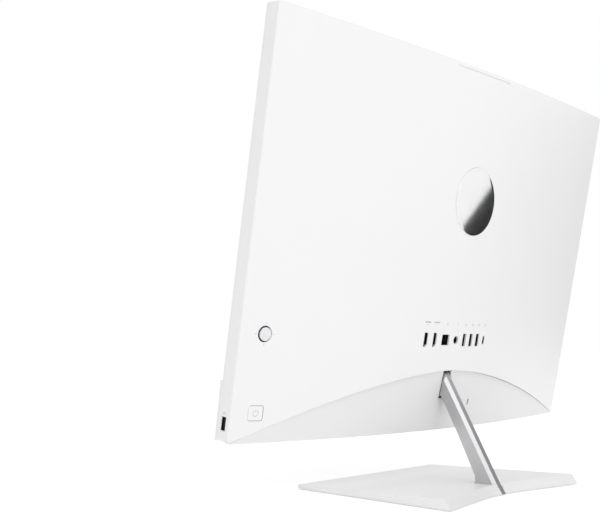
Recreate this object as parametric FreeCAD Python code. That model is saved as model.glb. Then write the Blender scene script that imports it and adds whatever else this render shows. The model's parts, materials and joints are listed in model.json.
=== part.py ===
"""All-in-one desktop computer: a domed display head on a slim bar and a flat wedge base.

Row frame, millimetres: +Z up, +X to the user's right, +Y to the rear, origin on the table
at the centre of the base. The head is drawn upright in its own frame, where x runs across
(u), y runs from the glass to the rear (w) and z runs up from the head's lower edge (v), and
is then leant back by HEAD_LEAN.
"""
import FreeCAD
import Part
import math
import os

os.makedirs("parts", exist_ok=True)

Vector = FreeCAD.Vector

# --- driving dimensions -----------------------------------------------------------------
HEAD_WIDTH = 612.6
HEAD_HEIGHT = 400.0
HEAD_LEAN = 9.9
HEAD_LIFT = 71.1
HEAD_FRONT = -41.5
EDGE_DEPTH = 15.5
CORNER_RADIUS = 4.0
WALL = 2.2
GAP = 0.3

# The rear shell is a barrel: its extra depth falls off as a parabola across the width.
DOME_DEPTH = 30.0
DOME_TOP_DEPTH = 16.3
DOME_LEVEL_V = 105.0
LOW_DOME_DEPTH = 20.7
LOW_DOME_RISE = 0.0636

# The arc that parts the rear cover from the lower cover.
ARC_HEIGHT = 70.7
ARC_POWER = 1.70
ARC_END_U = 298.0

CHIN_HEIGHT = 58.0
CHIN_PROUD_TOP = 3.3
CHIN_PROUD_BOTTOM = 1.6

PIVOT_W = 26.5
PIVOT_V = 43.7
PIN_RADIUS = 4.0
KNUCKLE_RADIUS = 9.0

ARM_WIDTH = 13.6
ARM_CHAMFER = 3.2
ARM_SLOT_HALF = 7.6
ARM_SLOT_LOW_V = 37.5

BASE_HALF_WIDTH = 129.5
BASE_FRONT_Y = -101.5
BASE_REAR_Y = 101.5
BASE_VERTEX_Y = 82.5
BASE_BEND_X = 56.0
BASE_BEND_Y = 88.5
BASE_UNDER_Z = 1.0
BASE_FRONT_TOP = 5.0
BASE_REAR_TOP = 12.0
BASE_REAR_SLOPE = 0.66
BASE_WALL = 1.8

CAMERA_HALF = 51.5
CAMERA_LIP = 4.2
CAMERA_FRONT_W = 10.2
CAMERA_BODY_HALF = 38.0
CAMERA_BODY_LOW_V = 350.0
CAMERA_BODY_BACK_W = 22.0
CAMERA_LENS_V = 388.0

BADGE_V = 259.0
BADGE_RADIUS = 37.0
BADGE_THICK = 1.2

PORT_V = 105.5
PORT_MOUTH_W = 43.9
IO_BOARD_W = 29.0

STICK_U = 278.8
STICK_V = 105.7
STICK_HOLE_RADIUS = 7.7
STICK_CAP_RADIUS = 6.5
STICK_CAP_PROUD = 1.2
STICK_CAP_ROUND = 0.5
STICK_CAP_SKIRT = 2.6
STICK_SHAFT_RADIUS = 1.6
STICK_PIVOT_DEPTH = 5.6

POWER_U = 278.5
POWER_V = 29.9
POWER_WIDTH = 16.6
POWER_HEIGHT = 14.3
POWER_CORNER = 2.3
POWER_GAP = 0.45

SIDE_USB_V = 18.5
SIDE_USB_W = 8.0

LOCK_U = -56.0
LOCK_V = 30.5

FAN_U = 130.0
FAN_V = 290.0
FAN_RADIUS = 34.0
FAN_LOW_W = 11.0
FAN_HIGH_W = 24.0

BASE_CORNER = 3.0
PLATE_TOP_Z = 3.0
FOOT_HALF = 24.0
FOOT_FRONT_Y = 36.0
FOOT_REAR_Y = 76.0
FOOT_TOP_Z = 7.4
ARM_SCREW_YS = (62.0, 73.0)

ARM_LEAN = 29.3
ARM_TOP_THICK = 15.7
ARM_MID_THICK = 16.3
ARM_FOOT_THICK = 21.0
ARM_TOP_RUN = 8.0
ARM_REAR_TOP_WV = (39.2, 67.4)
ARM_INNER_W = 34.0
ARM_WEB_WV = ((17.8, 46.0), (30.0, 62.0), (34.5, 70.0), (42.0, 63.5), (42.0, 41.5), (33.4, 37.9))
PIN_HALF = 16.0
EAR_IN = 8.6
EAR_OUT = 12.6
BRACKET_SCREWS = [(u, v) for u in (-36.0, 36.0) for v in (28.0, 76.0)]

FRAME_W = 2.0
GLASS_HALF = 304.1
PANEL_HALF = 300.4
CHASSIS_BACK_W = 8.3
BOARD_W = 14.0
BOARD_TOP_W = 15.6
STANDOFF_RADIUS = 2.5
STANDOFFS = [(u, v) for u in (-142.0, 0.0, 142.0) for v in (134.0, 239.0)]
CHASSIS_SCREWS = [(u, v) for u in (-274.0, 250.0) for v in (150.0, 265.0, 380.0)]
MEMORY_VS = (180.0, 214.0)
DRIVE_US = (-256.0, -186.0)
DRIVE_VS = (185.0, 285.0)
DRIVE_THICK = 7.0
CELL_UV = (112.0, 150.0)
CABLE_US = (-168.0, -152.0)
CABLE_THICK = 0.4
PIPE_RADIUS = 2.9
PIPE_RUNS = ((206.0, 0.0), (218.0, 12.0))
SINK_FINS = 17
COOLING_FINS = 23
GRILLE_HALF = 290.0
GRILLE_LOW_V = 8.0
GRILLE_HIGH_V = 50.0
SPEAKER_US = (-205.0, -125.0, 125.0, 205.0)
SPEAKER_V = 30.0
VENT_WIDTH = 2.4
ARC_LIP = 2.0

SOCKET_WALL = 0.5
SOCKETS = {
    "hdmi_1": ("hdmi", 56.7),
    "hdmi_2": ("hdmi", 40.6),
    "network": ("network", 20.8),
    "power": ("power", 0.8),
    "usb_1": ("usb_a", -15.8),
    "usb_2": ("usb_a", -29.6),
    "usb_3": ("usb_a", -43.2),
    "usb_c": ("usb_c", -57.2),
}
SOCKET_SIZES = {
    "hdmi": (5.6, 15.0),
    "network": (13.0, 11.4),
    "power": (8.4, 8.4),
    "usb_a": (5.9, 13.8),
    "usb_c": (3.3, 9.1),
}
SOCKET_DEEP = {"hdmi": 10.0, "network": 11.0, "power": 9.5, "usb_a": 10.5, "usb_c": 6.5}
SOCKET_NODES = {
    "hdmi": "hdmi_sockets",
    "network": "network_socket",
    "power": "power_inlet",
    "usb_a": "usb_a_sockets",
    "usb_c": "usb_c_socket",
}
FAN_BLADES = 19

HALF = HEAD_WIDTH / 2.0
HEAD_PLACE = FreeCAD.Placement(Vector(0, HEAD_FRONT, HEAD_LIFT),
                               FreeCAD.Rotation(Vector(1, 0, 0), -HEAD_LEAN))


# --- helpers ----------------------------------------------------------------------------
def save(name, shape):
    """Writes one node."""
    shape.exportStep("parts/" + name + ".step")


def save_head(name, shape):
    """Writes a node that was drawn in the head's own frame."""
    leant = shape.copy()
    leant.Placement = HEAD_PLACE.multiply(leant.Placement)
    save(name, leant)


def block(x0, x1, y0, y1, z0, z1):
    """Box between two corners."""
    return Part.makeBox(x1 - x0, y1 - y0, z1 - z0, Vector(x0, y0, z0))


def rod(x, y, z, radius, length, direction):
    """Cylinder that starts at a point and runs along a direction."""
    return Part.makeCylinder(radius, length, Vector(x, y, z), direction)


def fuse_all(shapes):
    """One shape from touching or overlapping solids."""
    whole = shapes[0]
    for shape in shapes[1:]:
        whole = whole.fuse(shape)
    return whole.removeSplitter()


def group(shapes):
    """Separate solids kept together in one node."""
    return Part.makeCompound(shapes)


def rounded_plate(u0, u1, v0, v1, radius, w0, w1):
    """Plate in the head's frame with rounded corners, from depth w0 to w1."""
    plate = block(u0, u1, w0, w1, v0, v1)
    corners = [e for e in plate.Edges if abs(e.tangentAt(e.FirstParameter).y) > 0.99]
    return plate.makeFillet(radius, corners)


def dome_depth(v):
    """Extra depth of the rear cover at the head's middle."""
    if v <= DOME_LEVEL_V:
        return DOME_DEPTH
    share = (v - DOME_LEVEL_V) / (HEAD_HEIGHT - DOME_LEVEL_V)
    return DOME_DEPTH - (DOME_DEPTH - DOME_TOP_DEPTH) * share ** 3


def low_dome_depth(v):
    """Extra depth of the recessed lower cover at the head's middle."""
    return LOW_DOME_DEPTH + LOW_DOME_RISE * v


def shell_w(u, v, depth=dome_depth):
    """Depth of the outer rear surface."""
    return EDGE_DEPTH + depth(v) * (1 - (u / HALF) ** 2)


def under_shell(depth, inset, v_low=-12.0, v_high=412.0):
    """Solid of everything in front of a rear surface moved forward by inset."""
    u_steps = [HALF * 1.04 * (i / 6.0 - 1) for i in range(13)]
    v_steps = [v_low + (v_high - v_low) * j / 12.0 for j in range(13)]
    grid = [[Vector(u, shell_w(u, v, depth) - inset, v) for v in v_steps] for u in u_steps]
    surface = Part.BSplineSurface()
    surface.interpolate(grid)
    return surface.toShape().extrude(Vector(0, -90, 0))


def arc_v(u):
    """Height of the parting arc at a place across the head."""
    return ARC_HEIGHT * (1 - (abs(u) / HALF) ** ARC_POWER)


def below_arc(rise, end_u, w0, w1, v_low=-5.0):
    """Prism of the region under the parting arc raised by rise."""
    count = 24
    us = [end_u * (2.0 * i / count - 1) for i in range(count + 1)]
    points = [Vector(u, w0, arc_v(u) + rise) for u in us]
    curve = Part.BSplineCurve()
    curve.interpolate(points)
    left = Vector(-end_u, w0, v_low)
    right = Vector(end_u, w0, v_low)
    wire = Part.Wire([curve.toShape(), Part.makeLine(points[-1], right),
                      Part.makeLine(right, left), Part.makeLine(left, points[0])])
    return Part.Face(wire).extrude(Vector(0, w1 - w0, 0))


def surface_place(u, v, depth=dome_depth):
    """Placement on the rear surface: z out along the normal, x towards +u."""
    step = 0.01
    slope_u = (shell_w(u + step, v, depth) - shell_w(u - step, v, depth)) / (2 * step)
    slope_v = (shell_w(u, v + step, depth) - shell_w(u, v - step, depth)) / (2 * step)
    normal = Vector(-slope_u, 1, -slope_v).normalize()
    across = Vector(1, slope_u, 0).normalize()
    turn = FreeCAD.Rotation(across, normal.cross(across), normal, "ZXY")
    return FreeCAD.Placement(Vector(u, shell_w(u, v, depth), v), turn)


def placed(shape, place):
    """A copy of a shape moved to a placement."""
    moved = shape.copy()
    moved.Placement = place.multiply(moved.Placement)
    return moved


def screw(x, y, z, direction, shank, head, length, head_height):
    """Pan-head screw: shank along a direction, head on the other side of the point."""
    axis = Vector(direction).normalize()
    body = rod(x, y, z, shank, length, axis)
    cap = rod(x, y, z, head, head_height, axis.negative())
    return body.fuse(cap)


def key_block(width, height, corner, depth):
    """Block with rounded corners, centred, from z = -depth to 0."""
    shape = block(-width / 2, width / 2, -height / 2, height / 2, -depth, 0)
    posts = [e for e in shape.Edges if abs(e.tangentAt(e.FirstParameter).z) > 0.99]
    return shape.makeFillet(corner, posts)


# --- base -------------------------------------------------------------------------------
def base_outline(z, inset=0.0):
    """Outline of the base at one height. The rear edge is a shallow V with a round vertex."""
    shift = -BASE_REAR_SLOPE * (z - BASE_UNDER_Z) - inset
    side = BASE_HALF_WIDTH - inset
    front = BASE_FRONT_Y + inset
    turn = BASE_CORNER * (1 - math.sqrt(0.5))
    right_up = Vector(side, front + BASE_CORNER, z)
    right_mid = Vector(side - turn, front + turn, z)
    right_in = Vector(side - BASE_CORNER, front, z)
    left_up, left_mid, left_in = [Vector(-p.x, p.y, z) for p in (right_up, right_mid, right_in)]
    rear_right = Vector(side, BASE_REAR_Y + shift, z)
    rear_left = Vector(-side, rear_right.y, z)
    bend_right = Vector(BASE_BEND_X, BASE_BEND_Y + shift, z)
    bend_left = Vector(-BASE_BEND_X, bend_right.y, z)
    vertex = Vector(0, BASE_VERTEX_Y + shift, z)
    return Part.Wire([
        Part.makeLine(right_up, rear_right),
        Part.makeLine(rear_right, bend_right),
        Part.Arc(bend_right, vertex, bend_left).toShape(),
        Part.makeLine(bend_left, rear_left),
        Part.makeLine(rear_left, left_up),
        Part.Arc(left_up, left_mid, left_in).toShape(),
        Part.makeLine(left_in, right_in),
        Part.Arc(right_in, right_mid, right_up).toShape(),
    ])


def wedge_top(y):
    """Height of the base's top face."""
    share = (y - BASE_FRONT_Y) / (BASE_REAR_Y - BASE_FRONT_Y)
    return BASE_FRONT_TOP + (BASE_REAR_TOP - BASE_FRONT_TOP) * share


def under_wedge(drop):
    """Everything below the base's top face moved down by drop."""
    y0, y1 = BASE_FRONT_Y - 20, BASE_REAR_Y + 20
    corners = [Vector(-200, y0, -20), Vector(-200, y1, -20),
               Vector(-200, y1, wedge_top(y1) - drop), Vector(-200, y0, wedge_top(y0) - drop)]
    return Part.Face(Part.makePolygon(corners + corners[:1])).extrude(Vector(400, 0, 0))


def base_body(drop, inset):
    """Wedge between the underside and the top face."""
    low = base_outline(BASE_UNDER_Z, inset)
    high = base_outline(BASE_REAR_TOP + 4, inset)
    return Part.makeLoft([low, high], True, True).common(under_wedge(drop))


def arm_slot_in_base():
    """Space that the arm's foot takes, with clearance."""
    return placed_arm_bar(ARM_WIDTH + 2 * GAP, GAP)


def make_base():
    """Cover, steel plate, foot block, screws and rubber feet."""
    arm_space = arm_slot_in_base()
    cover = base_body(0, 0).cut(base_body(BASE_WALL, BASE_WALL))
    save("base_cover", cover.cut(arm_space))

    plate = base_body(BASE_WALL, BASE_WALL + GAP)
    plate = plate.common(block(-200, 200, -200, 200, 0, PLATE_TOP_Z))
    foot = block(-FOOT_HALF, FOOT_HALF, FOOT_FRONT_Y, FOOT_REAR_Y, PLATE_TOP_Z, FOOT_TOP_Z)
    foot_posts = [(x, y) for x in (-16.0, 16.0) for y in (FOOT_FRONT_Y + 6, FOOT_REAR_Y - 7)]
    arm_posts = [(0.0, y) for y in ARM_SCREW_YS]
    plate_posts = [(x, y) for x in (-100.0, 100.0) for y in (-70.0, 60.0)]
    for x, y in foot_posts + arm_posts + plate_posts:
        plate = plate.cut(rod(x, y, 0, 2.2, 6, Vector(0, 0, 1)))
        plate = plate.cut(rod(x, y, 0, 4.4, BASE_UNDER_Z + 1.0, Vector(0, 0, 1)))
    for x, y in foot_posts:
        foot = foot.cut(rod(x, y, 0, 2.0, 20, Vector(0, 0, 1)))
    save("base_plate", plate)
    save("foot_block", foot.cut(arm_space))

    up = Vector(0, 0, 1)
    seat = BASE_UNDER_Z + 1.0
    long_screws = [screw(x, y, seat, up, 2.0, 4.0, 5.6, 0.9) for x, y in foot_posts + arm_posts]
    short_screws = [screw(x, y, seat, up, 2.0, 4.0, 2.0, 0.9) for x, y in plate_posts]
    save("base_screws", group(long_screws + short_screws))

    feet = []
    for x, y in ((-108, -86), (108, -86), (-108, 78), (108, 78)):
        pad = block(x - 13, x + 13, y - 5, y + 5, 0, BASE_UNDER_Z)
        posts = [e for e in pad.Edges if abs(e.tangentAt(e.FirstParameter).z) > 0.99]
        feet.append(pad.makeFillet(4.9, posts))
    save("base_feet", group(feet))


# --- arm and hinge ----------------------------------------------------------------------
def to_row(w, v):
    """A point of the head's middle plane in the row frame."""
    return HEAD_PLACE.multVec(Vector(0, w, v))


def arm_points():
    """Rear line and front line of the bar in the row frame, and the pivot."""
    rear_top = to_row(*ARM_REAR_TOP_WV)
    lean = math.radians(ARM_LEAN)
    down = Vector(0, math.sin(lean), -math.cos(lean))
    rear_foot = rear_top + down * ((rear_top.z - PLATE_TOP_Z) / math.cos(lean))
    return rear_top, rear_foot, down


def arm_profile(grow=0.0):
    """Side outline of the bar from the plate up to the head."""
    rear_top, rear_foot, down = arm_points()
    forward = Vector(0, down.z, -down.y)
    top = rear_top - down * ARM_TOP_RUN
    length = (rear_foot - top).Length
    rear_high = top - forward * grow
    rear_low = rear_foot + down * 4 - forward * grow
    front_high = top + forward * (ARM_TOP_THICK + grow)
    front_mid = top + down * (length * 0.55) + forward * (ARM_MID_THICK + grow)
    front_low = rear_foot + down * 4 + forward * (ARM_FOOT_THICK + grow)
    wire = Part.Wire([
        Part.makeLine(rear_high, rear_low),
        Part.makeLine(rear_low, front_low),
        Part.Arc(front_low, front_mid, front_high).toShape(),
        Part.makeLine(front_high, rear_high),
    ])
    return Part.Face(wire)


def placed_arm_bar(width, grow):
    """Straight bar of a given width, cut level at the plate."""
    bar = arm_profile(grow).extrude(Vector(width, 0, 0))
    bar.translate(Vector(-width / 2, 0, 0))
    return bar.common(block(-30, 30, -100, 140, PLATE_TOP_Z, 300))


def make_arm():
    """Bar with chamfered rear corners, and the knuckle that its pivot pin runs through."""
    bar = placed_arm_bar(ARM_WIDTH, 0)
    rear = [e for e in bar.Edges if is_rear_long_edge(e)]
    bar = bar.makeChamfer(ARM_CHAMFER, rear)
    pivot = to_row(PIVOT_W, PIVOT_V)
    x_axis = Vector(1, 0, 0)
    knuckle = rod(-ARM_WIDTH / 2, pivot.y, pivot.z, KNUCKLE_RADIUS, ARM_WIDTH, x_axis)
    web_points = [to_row(w, v) for w, v in ARM_WEB_WV]
    web = Part.Face(Part.makePolygon(web_points + web_points[:1]))
    web = web.extrude(Vector(ARM_WIDTH, 0, 0))
    web.translate(Vector(-ARM_WIDTH / 2, 0, 0))
    bar = bar.cut(to_world(block(-20, 20, -20, ARM_INNER_W, 20, 120)))
    arm = fuse_all([bar, web, knuckle])
    arm = arm.cut(rod(-20, pivot.y, pivot.z, PIN_RADIUS + 0.02, 40, x_axis))
    for y in ARM_SCREW_YS:
        arm = arm.cut(rod(0, y, 0, 2.0, 8.2, Vector(0, 0, 1)))
    save("arm", arm)

    pin = rod(-PIN_HALF, pivot.y, pivot.z, PIN_RADIUS, 2 * PIN_HALF, x_axis)
    for side in (-1, 1):
        start = side * PIN_HALF
        pin = pin.fuse(rod(start, pivot.y, pivot.z, 6.5, 2.0, Vector(side, 0, 0)))
    save("hinge_pin", pin)

    washers = []
    for side in (-1, 1):
        for start, thick in ((ARM_WIDTH / 2 + 0.25, 1.2), (EAR_OUT + 0.25, 1.0), (EAR_OUT + 1.4, 1.0)):
            ring = rod(side * start, pivot.y, pivot.z, 7.5, thick, Vector(side, 0, 0))
            bore = rod(side * start, pivot.y, pivot.z, PIN_RADIUS + 0.02, thick, Vector(side, 0, 0))
            washers.append(ring.cut(bore))
    save("hinge_washers", group(washers))


def is_rear_long_edge(edge):
    """True for the two long edges at the rear of the straight bar."""
    rear_top, rear_foot, down = arm_points()
    if edge.Length < 60 or abs(edge.tangentAt(edge.FirstParameter).dot(down)) < 0.999:
        return False
    offset = edge.CenterOfMass - rear_foot
    return abs(offset.y * down.z - offset.z * down.y) < 0.5


def to_world(shape):
    """A shape of the head's frame moved to the row frame."""
    return placed(shape, HEAD_PLACE)


def make_hinge_bracket():
    """Steel bracket on the chassis with two ears round the pin."""
    plate = block(-45, 45, CHASSIS_BACK_W, CHASSIS_BACK_W + 3, 20, 84)
    parts = [plate]
    x_axis = Vector(1, 0, 0)
    for side in (-1, 1):
        u0, u1 = sorted((side * EAR_IN, side * EAR_OUT))
        wall = block(u0, u1, CHASSIS_BACK_W + 3, PIVOT_W, PIVOT_V - 16, PIVOT_V + 14)
        parts.append(wall)
        parts.append(rod(u0, PIVOT_W, PIVOT_V, KNUCKLE_RADIUS, u1 - u0, x_axis))
    bracket = fuse_all(parts)
    corner = block(-20, 20, PIVOT_W, PIVOT_W + 20, PIVOT_V + 9.2, PIVOT_V + 40)
    bracket = bracket.cut(corner)
    bracket = bracket.cut(rod(-20, PIVOT_W, PIVOT_V, PIN_RADIUS + 0.05, 40, x_axis))
    for u, v in BRACKET_SCREWS:
        bracket = bracket.cut(rod(u, 0, v, 2.1, 30, Vector(0, 1, 0)))
    save_head("hinge_bracket", bracket)


# --- shells -----------------------------------------------------------------------------
def vent_slots(u0, u1, w0, w1, v0, v1, count):
    """Row of narrow slots across a wall."""
    pitch = (u1 - u0) / count
    slots = [block(u0 + i * pitch, u0 + i * pitch + VENT_WIDTH, w0, w1, v0, v1) for i in range(count)]
    return group(slots)


def make_rear_cover():
    """Domed shell with side walls, open below the arc, with cut-outs for what shows through."""
    outer = rounded_plate(-HALF, HALF, 0, HEAD_HEIGHT, CORNER_RADIUS, FRAME_W + 0.1, 80)
    outer = outer.common(under_shell(dome_depth, 0))
    inner = rounded_plate(-HALF + WALL, HALF - WALL, WALL, HEAD_HEIGHT - WALL, 2.0, 0, 80)
    inner = inner.common(under_shell(dome_depth, WALL))
    shell = outer.cut(inner)
    shell = shell.cut(below_arc(0, ARC_END_U, EDGE_DEPTH, 80))

    band = below_arc(ARC_LIP, ARC_END_U + ARC_LIP, 0, 80, v_low=2.3)
    band = band.cut(below_arc(0, ARC_END_U, -1, 81))
    band = band.common(outer).cut(under_shell(low_dome_depth, WALL + GAP))
    band = band.cut(block(-ARM_SLOT_HALF - 1, ARM_SLOT_HALF + 1, 0, shell_w(0, ARC_HEIGHT) - WALL, 0, 90))
    shell = shell.fuse(band)

    shell = shell.cut(camera_space(GAP))
    for name in SOCKETS:
        shell = shell.cut(socket_outline(name, GAP, 30, 60))
    badge = rod(0, 0, -BADGE_THICK + 0.3, BADGE_RADIUS + 0.15, 10, Vector(0, 0, 1))
    shell = shell.cut(placed(badge, surface_place(0, BADGE_V)))
    hole = rod(0, 0, -9, STICK_HOLE_RADIUS, 20, Vector(0, 0, 1))
    shell = shell.cut(placed(hole, surface_place(STICK_U, STICK_V)))
    button = key_block(POWER_WIDTH + 2 * POWER_GAP, POWER_HEIGHT + 2 * POWER_GAP,
                       POWER_CORNER + POWER_GAP, 9)
    button.translate(Vector(0, 0, 4))
    shell = shell.cut(placed(button, surface_place(POWER_U, POWER_V)))
    side = block(HALF - 6, HALF + 2, SIDE_USB_W - 3.0, SIDE_USB_W + 3.0,
                 SIDE_USB_V - 6.7, SIDE_USB_V + 6.7)
    shell = shell.cut(side)
    shell = shell.cut(vent_slots(96, 166, 12, 22, HEAD_HEIGHT - 5, HEAD_HEIGHT + 1, 14))
    save_head("rear_cover", shell)


def make_lower_cover():
    """Recessed cover under the arc, with the arm's slot, the lock slot and the intake slots."""
    region = below_arc(-GAP, ARC_END_U - GAP, 0, 80, v_low=0)
    outer = region.common(under_shell(low_dome_depth, 0))
    inner = under_shell(low_dome_depth, WALL).cut(block(-400, 400, -100, 100, -20, WALL))
    cover = outer.cut(inner).cut(block(-400, 400, -20, EDGE_DEPTH + GAP, -20, 100))
    cover = cover.cut(block(-ARM_SLOT_HALF, ARM_SLOT_HALF, 0, 80, ARM_SLOT_LOW_V, 100))
    lock = key_block(3.0, 7.0, 0.6, 20)
    lock.translate(Vector(0, 0, 10))
    cover = cover.cut(placed(lock, surface_place(LOCK_U, LOCK_V, low_dome_depth)))
    for side in (-1, 1):
        u0, u1 = sorted((side * 60, side * 150))
        cover = cover.cut(vent_slots(u0, u1, EDGE_DEPTH + 2, EDGE_DEPTH + 9, -1, WALL + 0.5, 18))
    save_head("lower_cover", cover)

    plate = key_block(18, 14, 1.5, 1.5)
    plate.translate(Vector(0, 0, -WALL - 0.3))
    slot = key_block(3.0, 7.0, 0.6, 20)
    slot.translate(Vector(0, 0, 10))
    plate = plate.cut(slot)
    save_head("lock_plate", placed(plate, surface_place(LOCK_U, LOCK_V, low_dome_depth)))


def make_front():
    """Frame, glass, panel layers, chin bar with its speakers."""
    frame = rounded_plate(-HALF, HALF, 0, HEAD_HEIGHT, CORNER_RADIUS, 0, FRAME_W)
    frame = frame.cut(block(-GLASS_HALF, GLASS_HALF, -1, 10, CHIN_HEIGHT + 1, HEAD_HEIGHT - 2.2))
    ledge_out = rounded_plate(-GLASS_HALF + 0.3, GLASS_HALF - 0.3, CHIN_HEIGHT, HEAD_HEIGHT - 2.5,
                              2.5, FRAME_W, 6.9)
    ledge_in = block(-PANEL_HALF - 0.3, PANEL_HALF + 0.3, -1, 20, CHIN_HEIGHT + 1, HEAD_HEIGHT - 2.9)
    frame = frame.fuse(ledge_out.cut(ledge_in))
    for u in SPEAKER_US:
        frame = frame.cut(rod(u, -1, SPEAKER_V, 17.5, 8, Vector(0, 1, 0)))
    save_head("middle_frame", frame.removeSplitter())

    low, high = CHIN_HEIGHT + 1.2, HEAD_HEIGHT - 2.4
    save_head("cover_glass", block(-GLASS_HALF + 0.15, GLASS_HALF - 0.15, 0.0, 1.1, low, high))
    save_head("lcd_panel", block(-PANEL_HALF, PANEL_HALF, 1.2, 2.8, low, HEAD_HEIGHT - 3.1))
    save_head("light_guide", block(-PANEL_HALF, PANEL_HALF, 2.9, 5.9, low + 3, HEAD_HEIGHT - 3.1))
    save_head("light_strip", block(-PANEL_HALF, PANEL_HALF, 2.9, 5.9, low, low + 2.8))
    save_head("panel_pan", block(-PANEL_HALF, PANEL_HALF, 6.0, 6.8, low, HEAD_HEIGHT - 3.1))
    save_head("panel_board", block(-260, -120, 6.9, 8.1, 62, 80))

    corners = [Vector(-HALF, -0.1, 0.3), Vector(-HALF, -CHIN_PROUD_BOTTOM, 0.3),
               Vector(-HALF, -CHIN_PROUD_TOP, CHIN_HEIGHT - 0.3), Vector(-HALF, -0.1, CHIN_HEIGHT - 0.3)]
    chin = Part.Face(Part.makePolygon(corners + corners[:1])).extrude(Vector(HEAD_WIDTH, 0, 0))
    window = block(-GRILLE_HALF, GRILLE_HALF, -10, 1, GRILLE_LOW_V, GRILLE_HIGH_V)
    save_head("chin_cover", chin.cut(window))
    grille = chin.copy()
    grille.translate(Vector(0, 0.35, 0))
    grille = grille.common(block(-GRILLE_HALF + 0.2, GRILLE_HALF - 0.2, -10, -0.2,
                                 GRILLE_LOW_V + 0.2, GRILLE_HIGH_V - 0.2))
    save_head("speaker_grille", grille)

    boxes, drivers = [], []
    for side in (-1, 1):
        u0, u1 = sorted((side * 76, side * 238))
        box = block(u0, u1, 3.6, 18.5, 6, 54).cut(block(u0 + 1.5, u1 - 1.5, 5.1, 17, 7.5, 52.5))
        for u in SPEAKER_US:
            box = box.cut(rod(u, 0, SPEAKER_V, 15.0, 8, Vector(0, 1, 0)))
        boxes.append(box)
    for u in SPEAKER_US:
        rim = rod(u, 2.3, SPEAKER_V, 17.0, 1.2, Vector(0, 1, 0))
        cone = Part.makeCone(14.5, 8.0, 6.0, Vector(u, 3.5, SPEAKER_V), Vector(0, 1, 0))
        magnet = rod(u, 9.5, SPEAKER_V, 9.0, 6.0, Vector(0, 1, 0))
        hollow = Part.makeCone(13.5, 6.0, 5.0, Vector(u, 2.2, SPEAKER_V), Vector(0, 1, 0))
        drivers.append(fuse_all([rim, cone, magnet]).cut(hollow))
    save_head("speaker_boxes", group(boxes))
    save_head("speaker_drivers", group(drivers))


def make_badge():
    """Plain round disc let into the back."""
    disc = rod(0, 0, -BADGE_THICK + 0.35, BADGE_RADIUS, BADGE_THICK, Vector(0, 0, 1))
    rim = [e for e in disc.Edges if abs(e.CenterOfMass.z - 0.35) < 0.01 and e.Length > 10]
    save_head("badge", placed(disc.makeChamfer(0.35, rim), surface_place(0, BADGE_V)))


# --- sockets ----------------------------------------------------------------------------
def socket_outline(name, grow, w0, w1):
    """Prism of a socket's outer shape, grown by a clearance."""
    kind, u = SOCKETS[name]
    width, height = SOCKET_SIZES[kind]
    width, height = width + 2 * grow, height + 2 * grow
    if kind == "power":
        return rod(u, w0, PORT_V, width / 2, w1 - w0, Vector(0, 1, 0))
    corner = {"usb_c": width / 2 - 0.01, "hdmi": 0.6, "network": 0.5, "usb_a": 0.5}[kind]
    return rounded_plate(u - width / 2, u + width / 2, PORT_V - height / 2, PORT_V + height / 2,
                         corner, w0, w1)


def make_socket(name):
    """One socket: shell with its cavity and contact tongue, standing on the socket board."""
    kind, u = SOCKETS[name]
    body = socket_outline(name, 0, IO_BOARD_W + 1.7, PORT_MOUTH_W)
    hollow = socket_outline(name, -SOCKET_WALL, PORT_MOUTH_W - SOCKET_DEEP[kind], PORT_MOUTH_W + 1)
    body = body.cut(hollow)
    bottom = PORT_MOUTH_W - SOCKET_DEEP[kind]
    if kind == "power":
        pin = rod(u, bottom, PORT_V, 0.6, SOCKET_DEEP[kind] - 1.5, Vector(0, 1, 0))
        return body.fuse(pin)
    if kind == "network":
        strip = block(u - 4.9, u - 3.6, bottom, PORT_MOUTH_W - 2, PORT_V - 4.0, PORT_V + 4.0)
        return body.fuse(strip)
    width, height = SOCKET_SIZES[kind]
    thick = {"hdmi": 1.2, "usb_a": 1.9, "usb_c": 0.7}[kind]
    shift = {"hdmi": 0.3, "usb_a": -1.1, "usb_c": 0.0}[kind]
    tongue = block(u + shift - thick / 2, u + shift + thick / 2, bottom - 0.2, PORT_MOUTH_W - 1.2,
                   PORT_V - height / 2 + 1.4, PORT_V + height / 2 - 1.4)
    return body.fuse(tongue)


def make_sockets():
    """The row of sockets, their board and bracket, and the socket in the side wall."""
    made = {}
    for name, (kind, _) in SOCKETS.items():
        made.setdefault(kind, []).append(make_socket(name))
    for kind, node in SOCKET_NODES.items():
        save_head(node, group(made[kind]))
    save_head("io_board", block(-72, 72, IO_BOARD_W, IO_BOARD_W + 1.6, 92, 119))
    bracket = [block(-72, 72, IO_BOARD_W - 1.3, IO_BOARD_W - 0.1, 92, 119)]
    for side in (-1, 1):
        u0, u1 = sorted((side * 70.8, side * 72))
        bracket.append(block(u0, u1, CHASSIS_BACK_W + 0.1, IO_BOARD_W - 0.1, 92, 119))
        u0, u1 = sorted((side * 72, side * 82))
        bracket.append(block(u0, u1, CHASSIS_BACK_W + 0.1, CHASSIS_BACK_W + 1.3, 92, 119))
    save_head("io_bracket", fuse_all(bracket))

    low, high = SIDE_USB_V - 6.4, SIDE_USB_V + 6.4
    shell = block(HALF - 14, HALF - 0.6, SIDE_USB_W - 2.7, SIDE_USB_W + 2.7, low, high)
    hollow = block(HALF - 12.5, HALF, SIDE_USB_W - 2.2, SIDE_USB_W + 2.2, low + 0.5, high - 0.5)
    tongue = block(HALF - 12.7, HALF - 2, SIDE_USB_W - 1.8, SIDE_USB_W, low + 1.3, high - 1.3)
    save_head("side_usb_socket", shell.cut(hollow).fuse(tongue))
    save_head("side_board", block(HALF - 36, HALF - 5, SIDE_USB_W + 2.9, SIDE_USB_W + 4.1, 4, 40))


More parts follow.
